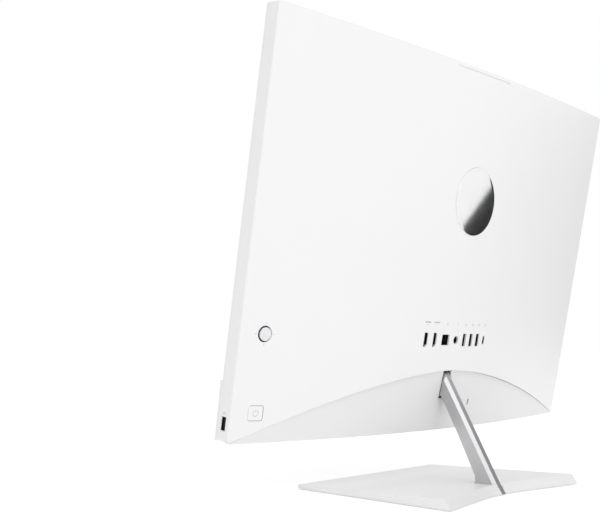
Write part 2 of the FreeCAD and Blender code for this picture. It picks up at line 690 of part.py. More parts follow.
# --- inside -----------------------------------------------------------------------------
def make_chassis():
    """Steel plate behind the panel, its screws and the boards on it."""
    chassis = block(-282, 262, CHASSIS_BACK_W - 1.2, CHASSIS_BACK_W, 60, 388)
    chassis = chassis.fuse(block(-60, 60, CHASSIS_BACK_W - 1.2, CHASSIS_BACK_W, 16, 60))
    chassis = chassis.cut(block(-264, -116, 0, 30, 50, 84))
    chassis = chassis.cut(block(-58, 58, 0, 30, 345, 400))
    chassis = chassis.cut(rod(FAN_U, 0, FAN_V, 20, 30, Vector(0, 1, 0)))
    for u, v in BRACKET_SCREWS:
        chassis = chassis.cut(rod(u, 0, v, 2.05, 30, Vector(0, 1, 0)))
    for u, v in CHASSIS_SCREWS:
        chassis = chassis.cut(rod(u, 0, v, 1.7, 30, Vector(0, 1, 0)))
    post_length = BOARD_W - CHASSIS_BACK_W + 1
    for u, v in STANDOFFS:
        post = rod(u, CHASSIS_BACK_W - 1, v, STANDOFF_RADIUS, post_length, Vector(0, 1, 0))
        chassis = chassis.fuse(post)
    save_head("main_chassis", chassis.removeSplitter())
    front = Vector(0, -1, 0)
    screws = [screw(u, CHASSIS_BACK_W, v, front, 1.5, 3.0, 1.1, 1.4) for u, v in CHASSIS_SCREWS]
    screws += [screw(u, CHASSIS_BACK_W + 3, v, front, 2.0, 4.0, 3.8, 2.0) for u, v in BRACKET_SCREWS]
    save_head("chassis_screws", group(screws))

    top = BOARD_TOP_W
    cell_u, cell_v = CELL_UV
    board = [block(-150, 150, BOARD_W, top, 128, 245),
             rod(cell_u, top, cell_v, 11.5, 1.4, Vector(0, 1, 0))]
    board += [block(-132, -60, top, top + 4, v, v + 5) for v in MEMORY_VS]
    save_head("main_board", fuse_all(board))

    save_head("processor", block(-20, 20, top, top + 3, 190, 226))
    base = block(-34, 34, top + 3, top + 6, 182, 234)
    fins = [block(-34 + i * 4, -33 + i * 4, top + 6, top + 10, 182, 200) for i in range(SINK_FINS)]
    save_head("heat_sink", fuse_all([base] + fins))
    modules = [block(-130, -62, top + 1.4, top + 2.6, v + 5, v + 30) for v in MEMORY_VS]
    save_head("memory_modules", group(modules))
    save_head("solid_state_drive", block(-134, -54, top + 1, top + 3.2, 136, 158))
    save_head("wireless_card", block(60, 90, top + 1, top + 3.2, 136, 158))
    save_head("coin_cell", rod(cell_u, top + 1.4, cell_v, 10.0, 3.2, Vector(0, 1, 0)))

    u0, u1 = DRIVE_US
    v0, v1 = DRIVE_VS
    drive_w = CHASSIS_BACK_W + 1
    save_head("drive_bracket", block(u0 - 6, u1 + 6, CHASSIS_BACK_W, drive_w, v0 - 5, v1 + 5))
    save_head("hard_drive", block(u0, u1, drive_w, drive_w + DRIVE_THICK, v0, v1))
    strips = [block(u, u + 42, CHASSIS_BACK_W, CHASSIS_BACK_W + 0.8, 372, 384) for u in (-230, 188)]
    save_head("antennas", group(strips))
    u0, u1 = CABLE_US
    near = CHASSIS_BACK_W + 0.1
    far = BOARD_TOP_W + 0.2
    ribbon = [block(u0, u1, near, near + CABLE_THICK, 84, 140),
              block(u0, u1, near + CABLE_THICK, far + CABLE_THICK, 140 - CABLE_THICK, 140),
              block(u0, u1 + 6, far, far + CABLE_THICK, 140 - CABLE_THICK, 152)]
    save_head("display_cable", fuse_all(ribbon))


def make_cooling():
    """Heat pipes from the heat sink to the fins over the fan, the fan housing and its rotor."""
    axis = Vector(0, 1, 0)
    pipe_w = BOARD_TOP_W + 9
    pipes = []
    for v, inset in PIPE_RUNS:
        start = Vector(-28, pipe_w, v)
        turn = Vector(FAN_U - 60 - inset, pipe_w, v)
        end = Vector(FAN_U - 60 - inset, pipe_w, FAN_V + 58)
        run = Part.makeCylinder(PIPE_RADIUS, (turn - start).Length, start, turn - start)
        climb = Part.makeCylinder(PIPE_RADIUS, (end - turn).Length, turn, end - turn)
        pipes.append(fuse_all([run, climb, Part.makeSphere(PIPE_RADIUS, turn)]))
    save_head("heat_pipes", group(pipes))
    fins = [block(FAN_U - 34 + i * 3, FAN_U - 33.4 + i * 3, 12, 25, FAN_V + 46, FAN_V + 58)
            for i in range(COOLING_FINS)]
    fins.append(block(FAN_U - 36, FAN_U + 36, 25, 25.6, FAN_V + 46, FAN_V + 58))
    save_head("heat_fins", fuse_all(fins))

    outer = rounded_plate(FAN_U - 40, FAN_U + 40, FAN_V - 40, FAN_V + 44, 20, FAN_LOW_W, FAN_HIGH_W)
    hollow = rod(FAN_U, FAN_LOW_W + 1, FAN_V, FAN_RADIUS + 2.5, FAN_HIGH_W - FAN_LOW_W - 2, axis)
    duct = block(FAN_U - 34, FAN_U + 34, FAN_LOW_W + 1, FAN_HIGH_W - 1, FAN_V, FAN_V + 50)
    mouth = rod(FAN_U, FAN_LOW_W + 3, FAN_V, 24, 30, axis)
    housing = outer.cut(hollow).cut(duct).cut(mouth)
    spindle = rod(FAN_U, FAN_LOW_W + 1, FAN_V, 1.5, 6, axis)
    save_head("fan_housing", housing.fuse(spindle))

    low = FAN_LOW_W + 2.0
    high = FAN_HIGH_W - 2.5
    hub = rod(FAN_U, low, FAN_V, 15, high - low, axis)
    blades = []
    for i in range(FAN_BLADES):
        blade = block(FAN_U + 14.5, FAN_U + FAN_RADIUS, low, high, FAN_V - 0.5, FAN_V + 0.5)
        blade.rotate(Vector(FAN_U + 14.5, 0, FAN_V), axis, 22)
        blade.rotate(Vector(FAN_U, 0, FAN_V), axis, i * 360.0 / FAN_BLADES)
        blades.append(blade)
    rotor = fuse_all([hub] + blades)
    rotor = rotor.common(rod(FAN_U, low, FAN_V, FAN_RADIUS, high - low, axis))
    rotor = rotor.cut(rod(FAN_U, low - 1, FAN_V, 1.55, 6.1, axis))
    save_head("fan_rotor", rotor)


# --- controls ---------------------------------------------------------------------------
def make_power_button():
    """Rounded key flush with the cover, and the switch behind it."""
    place = surface_place(POWER_U, POWER_V)
    key = key_block(POWER_WIDTH, POWER_HEIGHT, POWER_CORNER, 1.8)
    stem = key_block(5, 5, 0.8, 1.2)
    stem.translate(Vector(0, 0, -1.8))
    save_head("power_button", placed(key.fuse(stem), place))
    board = key_block(22, 20, 1.0, 1.0)
    board.translate(Vector(0, 0, -5.6))
    can = key_block(6, 6, 0.5, 1.5)
    can.translate(Vector(0, 0, -4.1))
    save_head("power_switch", placed(board.fuse(can), place))


def make_joystick():
    """Menu stick: base on the head, yoke that tips up and down, stem that tips sideways, cap."""
    place = surface_place(STICK_U, STICK_V)
    depth = STICK_PIVOT_DEPTH
    floor = block(-9, 9, -9, 9, -depth - 4.4, -depth - 3.4)
    posts = [block(s * 7.2 - 0.9, s * 7.2 + 0.9, -2.0, 2.0, -depth - 3.4, -depth + 1.6) for s in (-1, 1)]
    base = fuse_all([floor] + posts).cut(rod(-10, 0, -depth, 0.75, 20, Vector(1, 0, 0)))
    save_head("joystick_base", placed(base, place))

    frame = block(-5.8, 5.8, -5.8, 5.8, -depth - 1.1, -depth + 1.1)
    frame = frame.cut(block(-4.2, 4.2, -4.2, 4.2, -depth - 2, -depth + 2))
    pins = [rod(s * 5.8, 0, -depth, 0.7, 2.0, Vector(s, 0, 0)) for s in (-1, 1)]
    frame = fuse_all([frame] + pins).cut(rod(0, -7, -depth, 0.75, 14, Vector(0, 1, 0)))
    save_head("joystick_yoke", placed(frame, place))

    hub = block(-2.2, 2.2, -3.6, 3.6, -depth - 1.6, -depth + 1.2)
    axle = rod(0, -5.6, -depth, 0.7, 11.2, Vector(0, 1, 0))
    shaft = rod(0, 0, -depth, STICK_SHAFT_RADIUS, depth - 0.2, Vector(0, 0, 1))
    save_head("joystick_stem", placed(fuse_all([hub, axle, shaft]), place))

    cap = rod(0, 0, -STICK_CAP_SKIRT, STICK_CAP_RADIUS, STICK_CAP_SKIRT + STICK_CAP_PROUD,
              Vector(0, 0, 1))
    rim = [e for e in cap.Edges if abs(e.CenterOfMass.z - STICK_CAP_PROUD) < 0.01 and e.Length > 10]
    cap = cap.makeFillet(STICK_CAP_ROUND, rim)
    cap = cap.cut(rod(0, 0, -3, STICK_SHAFT_RADIUS + 0.05, 3.3, Vector(0, 0, 1)))
    save_head("joystick_cap", placed(cap, place))


# --- pop-up camera ----------------------------------------------------------------------
def camera_space(grow):
    """Space of the camera's cap and body, with clearance."""
    cap = block(-CAMERA_HALF - grow, CAMERA_HALF + grow, CAMERA_FRONT_W - grow, 80,
                HEAD_HEIGHT - CAMERA_LIP - grow, HEAD_HEIGHT + 1)
    body = block(-CAMERA_BODY_HALF - grow, CAMERA_BODY_HALF + grow, CAMERA_FRONT_W + 0.6 - grow,
                 CAMERA_BODY_BACK_W + grow, CAMERA_BODY_LOW_V - 10, HEAD_HEIGHT)
    return cap.fuse(body)


def make_camera():
    """Camera block that rises out of the top edge, its lens, board and guides."""
    cap = block(-CAMERA_HALF, CAMERA_HALF, CAMERA_FRONT_W, 80, HEAD_HEIGHT - CAMERA_LIP, HEAD_HEIGHT)
    cap = cap.common(under_shell(dome_depth, 0))
    front = CAMERA_FRONT_W + 0.6
    body = block(-CAMERA_BODY_HALF, CAMERA_BODY_HALF, front, CAMERA_BODY_BACK_W,
                 CAMERA_BODY_LOW_V, HEAD_HEIGHT - CAMERA_LIP)
    cavity = block(-CAMERA_BODY_HALF + 2, CAMERA_BODY_HALF - 2, front + 1.5, CAMERA_BODY_BACK_W - 1.5,
                   CAMERA_BODY_LOW_V - 1, HEAD_HEIGHT - CAMERA_LIP - 2)
    housing = cap.fuse(body).cut(cavity)
    housing = housing.cut(rod(0, front - 1, CAMERA_LENS_V, 5.0, 6, Vector(0, 1, 0)))
    save_head("camera_housing", housing.removeSplitter())

    lens = rod(0, front + 0.1, CAMERA_LENS_V, 4.9, 1.0, Vector(0, 1, 0))
    barrel = rod(0, front + 1.1, CAMERA_LENS_V, 4.2, 3.4, Vector(0, 1, 0))
    save_head("camera_lens", lens.fuse(barrel))
    save_head("camera_sensor_board", block(-30, 30, front + 4.5, front + 5.7, 374, 393.5))

    guides = []
    for side in (-1, 1):
        near, far = side * (CAMERA_BODY_HALF + GAP), side * (CAMERA_BODY_HALF + 6)
        u0, u1 = sorted((near, far))
        guides.append(block(u0, u1, CHASSIS_BACK_W + 0.1, CAMERA_BODY_BACK_W, 330, 394))
    save_head("camera_guides", group(guides))


make_base()
make_arm()
make_hinge_bracket()
make_rear_cover()
make_lower_cover()
make_front()
make_badge()
make_sockets()
make_chassis()
make_cooling()
make_power_button()
make_joystick()
make_camera()
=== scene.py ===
"""Looks of an all-in-one desktop computer: white shells, bar, disc, sockets, controls and stage.

Every length is in metres. The head's pieces are drawn upright in the head's own space, where
x runs across (u), y runs from the glass to the rear (w) and z runs up (v), and HEAD then leans
them back into place.
"""
import json
import math

import bmesh
import bpy
from bpy.props import FloatProperty, FloatVectorProperty, PointerProperty
from mathutils import Matrix, Vector


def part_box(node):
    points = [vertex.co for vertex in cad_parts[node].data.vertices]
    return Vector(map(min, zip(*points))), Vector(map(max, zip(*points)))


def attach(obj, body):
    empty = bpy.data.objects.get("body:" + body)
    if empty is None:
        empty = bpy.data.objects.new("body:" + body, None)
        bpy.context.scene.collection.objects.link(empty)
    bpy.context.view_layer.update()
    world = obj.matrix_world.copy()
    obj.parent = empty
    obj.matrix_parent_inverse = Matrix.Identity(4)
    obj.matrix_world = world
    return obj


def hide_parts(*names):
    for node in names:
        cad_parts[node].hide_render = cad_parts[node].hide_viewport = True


bl_info = {
    "name": "All-in-one computer looks",
    "version": (1, 0, 0),
    "blender": (4, 5, 0),
    "location": "3D View > Sidebar > Computer",
    "description": "Builds the shells, bar, controls and stage of an all-in-one computer",
    "category": "Object",
}

MM = 0.001
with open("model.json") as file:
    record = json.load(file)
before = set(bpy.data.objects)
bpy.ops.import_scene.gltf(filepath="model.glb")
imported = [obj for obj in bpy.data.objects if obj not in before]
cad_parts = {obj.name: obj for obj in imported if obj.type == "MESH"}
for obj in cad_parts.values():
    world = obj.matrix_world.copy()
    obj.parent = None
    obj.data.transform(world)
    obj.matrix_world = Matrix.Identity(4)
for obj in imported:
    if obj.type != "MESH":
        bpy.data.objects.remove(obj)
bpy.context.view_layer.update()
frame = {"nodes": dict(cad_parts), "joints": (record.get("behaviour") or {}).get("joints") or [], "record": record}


# --- the head's own space ---------------------------------------------------------------
def joint(name):
    """One joint of the packed model."""
    return next(j for j in frame["joints"] if j["name"] == name)


LEAN = math.atan2(joint("camera_slide")["axis"][1], joint("camera_slide")["axis"][2])
HEAD_TURN = Matrix.Rotation(-LEAN, 4, "X")


def turned_box(node, turn):
    """Lowest and highest corner of a node in a turned space."""
    points = [turn @ v.co for v in frame["nodes"][node].data.vertices]
    low = Vector([min(p[i] for p in points) for i in range(3)])
    high = Vector([max(p[i] for p in points) for i in range(3)])
    return low, high


FRAME_LOW, FRAME_HIGH = turned_box("middle_frame", HEAD_TURN.inverted())
HEAD = HEAD_TURN @ Matrix.Translation(Vector((0.0, FRAME_LOW.y, FRAME_LOW.z)))
HALF = FRAME_HIGH.x
HEIGHT = FRAME_HIGH.z - FRAME_LOW.z


def head_box(node):
    """Lowest and highest corner of a node in the head's space."""
    return turned_box(node, HEAD.inverted())


# --- sizes and colours ------------------------------------------------------------------
def size(name, description, default):
    """A length that a user may change."""
    return FloatProperty(name=name, description=description, default=default, unit="LENGTH", precision=5)


def colour(name, description, default):
    """A colour that a user may change."""
    return FloatVectorProperty(name=name, description=description, default=default,
                               subtype="COLOR", size=3, min=0.0, max=1.0)


class ShellSizes(bpy.types.PropertyGroup):
    """Sizes of the rear cover and the lower cover."""
    edge_depth: size("Edge depth", "Depth of the side walls", 15.5 * MM)
    dome_depth: size("Dome depth", "Extra depth of the rear at the middle", 30.0 * MM)
    dome_top_depth: size("Dome top depth", "Extra depth of the rear at its top edge", 16.3 * MM)
    dome_level: size("Dome level", "Height below which the dome keeps its depth", 105.0 * MM)
    low_dome_depth: size("Low dome depth", "Extra depth of the lower cover at its foot", 20.7 * MM)
    low_dome_rise: FloatProperty(name="Low dome rise", description="Gain in depth with height",
                                 default=0.0636)
    arc_height: size("Arc height", "Height of the parting arc at the middle", 70.7 * MM)
    arc_power: FloatProperty(name="Arc power", description="Roundness of the parting arc", default=1.70)
    wall: size("Wall", "Thickness of the shells", 2.2 * MM)
    gap: size("Gap", "Gap between two shells", 0.3 * MM)
    corner: size("Corner", "Radius of the head's corners", 4.0 * MM)
    edge_round: size("Edge rounding", "Radius along the rear's outer edge", 0.9 * MM)
    arc_round: size("Arc rounding", "Radius along the parting arc", 0.6 * MM)
    slot_half: size("Bar slot", "Half width of the bar's slot", 7.6 * MM)
    slot_low: size("Bar slot foot", "Height where the bar's slot starts", 37.5 * MM)
    vent_width: size("Vent width", "Width of one vent slot", 2.4 * MM)


class DetailSizes(bpy.types.PropertyGroup):
    """Sizes of the controls, marks and trims."""
    shell_bevel: size("Shell bevel", "Rounding of small shell edges", 0.35 * MM)
    base_bevel: size("Base bevel", "Rounding of the base's edges", 0.8 * MM)
    bar_bevel: size("Bar bevel", "Rounding of the bar's edges", 0.3 * MM)
    bar_half: size("Bar half width", "Half width of the bar", 6.8 * MM)
    bar_rear_half: size("Bar rear half width", "Half width of the bar's rear face", 3.6 * MM)
    heel_rear: size("Heel rear", "Where the bar's heel ends at the underside", 82.6 * MM)
    heel_low: size("Heel foot", "Lowest height of the bar's heel", 1.0 * MM)
    heel_high: size("Heel top", "Height where the heel leaves the bar's rear face", 11.1 * MM)
    heel_slope: FloatProperty(name="Heel slope", description="Fall of the heel's rear per height",
                              default=0.66)
    foot_flare: size("Foot flare", "Radius of the fillet at the bar's foot", 7.0 * MM)
    foot_ground: size("Foot height", "Height of the base's top at the bar's foot", 9.8 * MM)
    badge_crown: size("Disc crown", "Rise of the disc's face", 0.15 * MM)
    badge_radius: size("Disc radius", "Radius of the disc on the back", 37.0 * MM)
    badge_proud: size("Disc height", "How far the disc's edge stands out", 0.35 * MM)
    key_width: size("Key width", "Width of the power key", 16.6 * MM)
    key_height: size("Key height", "Height of the power key", 14.3 * MM)
    key_corner: size("Key corner", "Radius of the power key's corners", 2.3 * MM)
    key_gap: size("Key gap", "Gap round the power key", 0.45 * MM)
    stick_radius: size("Stick radius", "Radius of the menu stick's cap", 6.5 * MM)
    stick_proud: size("Stick height", "How far the menu stick stands out", 1.2 * MM)
    stick_skirt: size("Stick skirt", "How far the cap reaches into its hole", 2.6 * MM)
    stick_bore: size("Stick bore", "Radius of the bore in the cap", 1.65 * MM)
    stick_hole: size("Stick hole", "Radius of the hole round the stick", 7.7 * MM)
    mark_rise: size("Mark rise", "Thickness of the printed marks", 0.04 * MM)
    mark_above: size("Mark height", "Height of the marks above the sockets' middle", 17.5 * MM)
    tick_radius: size("Tick radius", "Distance of the ticks from the stick", 10.4 * MM)
    rib_pitch: size("Rib pitch", "Distance between two ribs of the cloth", 1.1 * MM)
    rib_radius: size("Rib radius", "Half thickness of a rib", 0.42 * MM)


class FinishColours(bpy.types.PropertyGroup):
    """Colours of the finishes."""
    shell: colour("Shell", "White of the shells", (0.865, 0.865, 0.865))
    # Painted shade: the lower cover is the same white plastic as the shell, drawn darker to stand in for the shade
    # it sits in under the arc.
    lower: colour("Lower cover", "White of the recessed lower cover", (0.80, 0.80, 0.80))
    base: colour("Base", "White of the base", (0.85, 0.85, 0.85))
    bar: colour("Bar", "Tone of the bar", (0.58, 0.58, 0.59))
    disc: colour("Disc", "Tone of the disc", (0.92, 0.92, 0.92))
    stick: colour("Stick", "Tone of the menu stick", (0.84, 0.84, 0.85))
    cloth: colour("Cloth", "Tone of the speaker cloth", (0.50, 0.51, 0.53))
    ink: colour("Ink", "Tone of the printed marks", (0.38, 0.38, 0.39))


class StageSettings(bpy.types.PropertyGroup):
    """Camera and lights."""
    camera_place: FloatVectorProperty(name="Camera place", description="Where the camera stands",
                                      default=(0.89156, 0.60929, 0.16046), subtype="XYZ", unit="LENGTH")
    camera_turn: FloatProperty(name="Camera turn", description="Heading of the camera",
                               default=math.radians(135.97), unit="ROTATION")
    camera_pitch: FloatProperty(name="Camera pitch", description="Upward tilt of the camera",
                                default=math.radians(-0.99), unit="ROTATION")
    camera_lens: FloatProperty(name="Lens", description="Focal length in millimetres", default=55.77)
    camera_shift: FloatVectorProperty(name="Shift", description="Shift of the view", size=2,
                                      default=(0.0853, 0.1769))
    floor_size: size("Floor", "Side of the floor", 60.0)
    ambient: FloatProperty(name="Ambient", description="Strength of the surroundings' light", default=0.77)
    backdrop: FloatProperty(name="Backdrop", description="Brightness of the backdrop", default=1.0)


GROUPS = {"shell": ShellSizes, "detail": DetailSizes, "finish": FinishColours, "stage": StageSettings}


def settings(name):
    """The scene's values of one group."""
    return getattr(bpy.context.scene, "computer_" + name)


# --- nodes ------------------------------------------------------------------------------
class Value:
    """A number in a node tree. Arithmetic on it adds Math nodes."""

    def __init__(self, nodes, socket):
        self.nodes = nodes
        self.socket = socket

    def math(self, operation, *inputs):
        """One Math node on these inputs."""
        made = self.nodes.node("ShaderNodeMath", {"operation": operation}, dict(enumerate(inputs)))
        return Value(self.nodes, made.outputs[0])

    def __add__(self, other):
        return self.math("ADD", self, other)

    def __radd__(self, other):
        return self.math("ADD", other, self)

    def __sub__(self, other):
        return self.math("SUBTRACT", self, other)

    def __rsub__(self, other):
        return self.math("SUBTRACT", other, self)

    def __mul__(self, other):
        return self.math("MULTIPLY", self, other)

    def __rmul__(self, other):
        return self.math("MULTIPLY", other, self)

    def __truediv__(self, other):
        return self.math("DIVIDE", self, other)

    def __gt__(self, other):
        return self.math("GREATER_THAN", self, other)

    def __abs__(self):
        return self.math("ABSOLUTE", self)

    def greatest(self, other):
        """The larger of two numbers."""
        return self.math("MAXIMUM", self, other)

    def sine(self):
        """Sine of the number."""
        return self.math("SINE", self)


class Nodes:
    """Adds nodes to one tree."""

    def __init__(self, tree):
        self.tree = tree

    def node(self, kind, options=None, inputs=None):
        """One node: its options are set first, and then its sockets get values or links."""
        made = self.tree.nodes.new(kind)
        for key, value in (options or {}).items():
            if key == "stops":
                self.set_stops(made.color_ramp, value)
            else:
                setattr(made, key, value)
        for key, value in (inputs or {}).items():
            if isinstance(value, Value):
                value = value.socket
            if isinstance(value, bpy.types.NodeSocket):
                self.tree.links.new(value, made.inputs[key])
            else:
                made.inputs[key].default_value = value
        return made

    def set_stops(self, ramp, stops):
        """Places and grey levels of a colour ramp."""
        for index, (place, level) in enumerate(stops):
            stop = ramp.elements[index] if index < 2 else ramp.elements.new(place)
            stop.position = place
            stop.color = (level, level, level, 1.0)

    def value(self, made, output=0):
        """One output of a node as a number."""
        return Value(self, made.outputs[output])


class Finish(Nodes):
    """One material with its main shader."""

    def __init__(self, name):
        self.material = bpy.data.materials.new(name)
        self.material.use_nodes = True
        super().__init__(self.material.node_tree)
        self.tree.nodes.clear()
        self.shader = self.node("ShaderNodeBsdfPrincipled")
        self.out = self.node("ShaderNodeOutputMaterial", None, {"Surface": self.shader.outputs[0]})
        self.place = self.node("ShaderNodeTexCoord").outputs["Object"]

    def mapped(self, scale=(1, 1, 1), turn=(0, 0, 0), shift=(0, 0, 0)):
        """Object coordinates, moved, turned and scaled."""
        inputs = {"Vector": self.place, "Scale": scale, "Rotation": turn, "Location": shift}
        return self.node("ShaderNodeMapping", None, inputs).outputs[0]

    def noise(self, scale, detail=2.0, rough=0.5, vector=None):
        """Cloudy pattern from 0 to 1."""
        inputs = {"Vector": vector or self.place, "Scale": scale, "Detail": detail, "Roughness": rough}
        return self.value(self.node("ShaderNodeTexNoise", None, inputs))

    def blend(self, factor, first, second):
        """Mix of two colours."""
        options = {"data_type": "RGBA"}
        made = self.node("ShaderNodeMix", options, {0: factor, 6: first, 7: second})
        return made.outputs[2]

    def shade(self, tone, amount, factor):
        """A colour that darkens by amount where factor is 1."""
        full = (*tone, 1.0)
        dark = (*[c * (1 - amount) for c in tone], 1.0)
        return self.blend(factor, full, dark)

    def bump(self, height, strength, distance):
        """Relief from a pattern."""
        inputs = {"Height": height, "Strength": strength, "Distance": distance}
        self.set("Normal", self.node("ShaderNodeBump", None, inputs).outputs[0])

    def set(self, name, value):
        """Value or link of one socket of the shader."""
        if isinstance(value, Value):
            value = value.socket
        if isinstance(value, bpy.types.NodeSocket):
            self.tree.links.new(value, self.shader.inputs[name])
        else:
            self.shader.inputs[name].default_value = value


# --- finishes ---------------------------------------------------------------------------
def satin_plastic(name, tone, roughness=0.40, grain=2600.0, relief=0.16):
    """Moulded satin plastic: fine spark-eroded grain and a faint drift of tone."""
    made = Finish(name)
    drift = made.noise(5.0, 3.0)
    grains = made.noise(grain, 2.0, 0.6)
    made.set("Base Color", made.shade(tone, 0.035, drift))
    made.set("Roughness", grains * 0.10 + (roughness - 0.05))
    made.set("Specular IOR Level", 0.42)
    made.bump(grains, relief, 0.03 * MM)
    return made.material


def brushed_metal(name, tone, turn, along=9.0, across=1900.0, roughness=0.30):
    """Brushed metal whose lines run along its own x axis once it is turned."""
    made = Finish(name)
    stretched = made.mapped((along, across, across), turn)
    lines = made.noise(1.0, 4.0, 0.7, stretched)
    wide = made.noise(1.0, 2.0, 0.5, made.mapped((along * 0.4, 90.0, 90.0), turn))
    made.set("Base Color", made.shade(tone, 0.22, lines * 0.7 + wide * 0.3))
    made.set("Metallic", 1.0)
    made.set("Roughness", lines * 0.16 + (roughness - 0.04))
    made.bump(lines, 0.25, 0.02 * MM)
    return made.material


def polished_metal(name, tone):
    """Mirror-like metal with hairlines."""
    made = Finish(name)
    clouds = made.noise(60.0, 3.0)
    hairs = made.noise(1.0, 3.0, 0.6, made.mapped((900.0, 30.0, 900.0), (0.3, 0.2, 0.6)))
    made.set("Base Color", made.shade(tone, 0.05, clouds))
    made.set("Metallic", 1.0)
    made.set("Roughness", hairs * 0.05 + clouds * 0.02 + 0.03)
    made.bump(hairs, 0.02, 0.01 * MM)
    return made.material


def cloth(name, tone):
    """Acoustic cloth: weft threads across the ribs, with uneven yarn."""
    made = Finish(name)
    parts = made.node("ShaderNodeSeparateXYZ", None, {"Vector": made.place})
    weft = (made.value(parts) * (2 * math.pi / (0.9 * MM))).sine()
    yarn = made.noise(1500.0, 3.0, 0.65)
    made.set("Base Color", made.shade(tone, 0.55, weft * 0.22 + yarn * 0.6 + 0.1))
    made.set("Roughness", yarn * 0.1 + 0.82)
    made.set("Sheen Weight", 0.25)
    made.bump(weft * 0.5 + yarn * 0.5, 0.5, 0.12 * MM)
    return made.material


def black_plastic(name, level=0.012, roughness=0.45):
    """Dark moulded plastic."""
    made = Finish(name)
    grains = made.noise(2200.0, 2.0)
    drift = made.noise(30.0, 2.0)
    made.set("Base Color", made.shade((level, level, level * 1.05), 0.4, drift))
    made.set("Roughness", grains * 0.14 + (roughness - 0.07))
    made.bump(grains, 0.18, 0.03 * MM)
    return made.material


def soft_rubber(name):
    """Grey rubber with a dusty bloom."""
    made = Finish(name)
    dust = made.noise(320.0, 4.0, 0.65)
    made.set("Base Color", made.shade((0.11, 0.11, 0.112), 0.45, dust))
    made.set("Roughness", dust * 0.15 + 0.72)
    made.bump(dust, 0.35, 0.08 * MM)
    return made.material


def galvanised_sheet(name, tone, roughness=0.38):
    """Sheet metal with crystal flakes."""
    made = Finish(name)
    flakes = made.node("ShaderNodeTexVoronoi", None, {"Vector": made.place, "Scale": 240.0})
    level = made.value(made.node("ShaderNodeSeparateColor", None, {0: flakes.outputs["Color"]}))
    made.set("Base Color", made.shade(tone, 0.25, level))
    made.set("Metallic", 1.0)
    made.set("Roughness", level * 0.14 + (roughness - 0.07))
    made.bump(level, 0.05, 0.02 * MM)
    return made.material


def powder_coat(name, tone):
    """Powder-coated plate with an orange-peel surface."""
    made = Finish(name)
    peel = made.noise(700.0, 2.0, 0.5)
    made.set("Base Color", made.shade(tone, 0.06, peel))
    made.set("Roughness", peel * 0.12 + 0.46)
    made.bump(peel, 0.3, 0.05 * MM)
    return made.material


def circuit_board(name):
    """Green lacquer over copper tracks."""
    made = Finish(name)
    lie = made.mapped((1, 1, 1), (LEAN, 0, 0))
    bricks = made.node("ShaderNodeTexBrick", {"offset": 0.35},
                       {"Vector": made.node("ShaderNodeVectorMath", {"operation": "MULTIPLY"},
                                            {0: lie, 1: (1, 0, 1)}).outputs[0],
                        "Scale": 260.0, "Mortar Size": 0.018})
    tracks = made.value(bricks, 1)
    dirt = made.noise(120.0, 3.0)
    tint = made.blend(tracks, (0.012, 0.085, 0.035, 1), (0.05, 0.22, 0.09, 1))
    made.set("Base Color", made.blend(dirt * 0.4, tint, (0.006, 0.05, 0.02, 1)))
    made.set("Roughness", dirt * 0.15 + 0.28)
    made.bump(tracks, 0.25, 0.04 * MM)
    return made.material


def screen_glass(name):
    """Clear front glass with a black border printed behind it."""
    made = Finish(name)
    low, high = head_box("lcd_panel")
    parts = made.node("ShaderNodeSeparateXYZ", None, {"Vector": made.mapped((1, 1, 1), (LEAN, 0, 0))})
    across = abs(made.value(parts, 0))
    middle = (HEAD_TURN.inverted() @ HEAD @ ((low + high) / 2)).z
    upward = abs(made.value(parts, 2) - middle)
    border = (across > high.x - 6.0 * MM).greatest(upward > (high.z - low.z) / 2 - 6.5 * MM)
    smears = made.noise(9.0, 4.0, 0.6)
    made.set("Base Color", (1.0, 1.0, 1.0, 1.0))
    made.set("Transmission Weight", 1.0)
    made.set("Roughness", smears * 0.03 + 0.015)
    ink = made.node("ShaderNodeBsdfPrincipled", None, {"Base Color": (0.004, 0.004, 0.005, 1),
                                                       "Roughness": 0.06})
    mixed = made.node("ShaderNodeMixShader", None, {0: border, 1: made.shader.outputs[0], 2: ink.outputs[0]})
    made.tree.links.new(mixed.outputs[0], made.out.inputs[0])
    return made.material


def lens_glass(name):
    """Dark coated lens."""
    made = Finish(name)
    tint = made.noise(400.0, 2.0)
    made.set("Base Color", made.blend(tint, (0.01, 0.012, 0.03, 1), (0.03, 0.012, 0.035, 1)))
    made.set("Roughness", tint * 0.03 + 0.03)
    made.set("Coat Weight", 1.0)
    return made.material


def dark_panel(name):
    """Screen that is off: near black with a trace of its cell rows."""
    made = Finish(name)
    parts = made.node("ShaderNodeSeparateXYZ", None, {"Vector": made.place})
    rows = (made.value(parts) * (2 * math.pi / (0.93 * MM))).sine() * 0.5 + 0.5
    made.set("Base Color", made.blend(rows, (0.006, 0.006, 0.007, 1), (0.012, 0.012, 0.014, 1)))
    made.set("Roughness", rows * 0.1 + 0.3)
    made.set("Specular IOR Level", 0.08)
    return made.material


def printed_ink(name, tone):
    """Pad-printed ink, thinner in places."""
    made = Finish(name)
    thin = made.noise(2400.0, 3.0, 0.7)
    made.set("Base Color", made.blend(thin * 0.5, (*tone, 1.0), (0.55, 0.55, 0.56, 1.0)))
    made.set("Roughness", thin * 0.2 + 0.4)
    made.bump(thin, 0.1, 0.01 * MM)
    return made.material


def pale_floor(name):
    """Matt white floor."""
    made = Finish(name)
    clouds = made.noise(0.8, 2.0)
    made.set("Base Color", made.shade((0.95, 0.95, 0.95), 0.015, clouds))
    made.set("Roughness", clouds * 0.1 + 0.6)
    made.set("Specular IOR Level", 0.2)
    made.set("Emission Color", (1.0, 1.0, 1.0, 1.0))
    made.set("Emission Strength", 0.25)
    return made.material


def dark_card(name):
    """Matt black card of the stage."""
    made = Finish(name)
    made.set("Base Color", made.shade((0.02, 0.02, 0.02), 0.3, made.noise(4.0)))
    made.set("Roughness", 0.9)
    return made.material


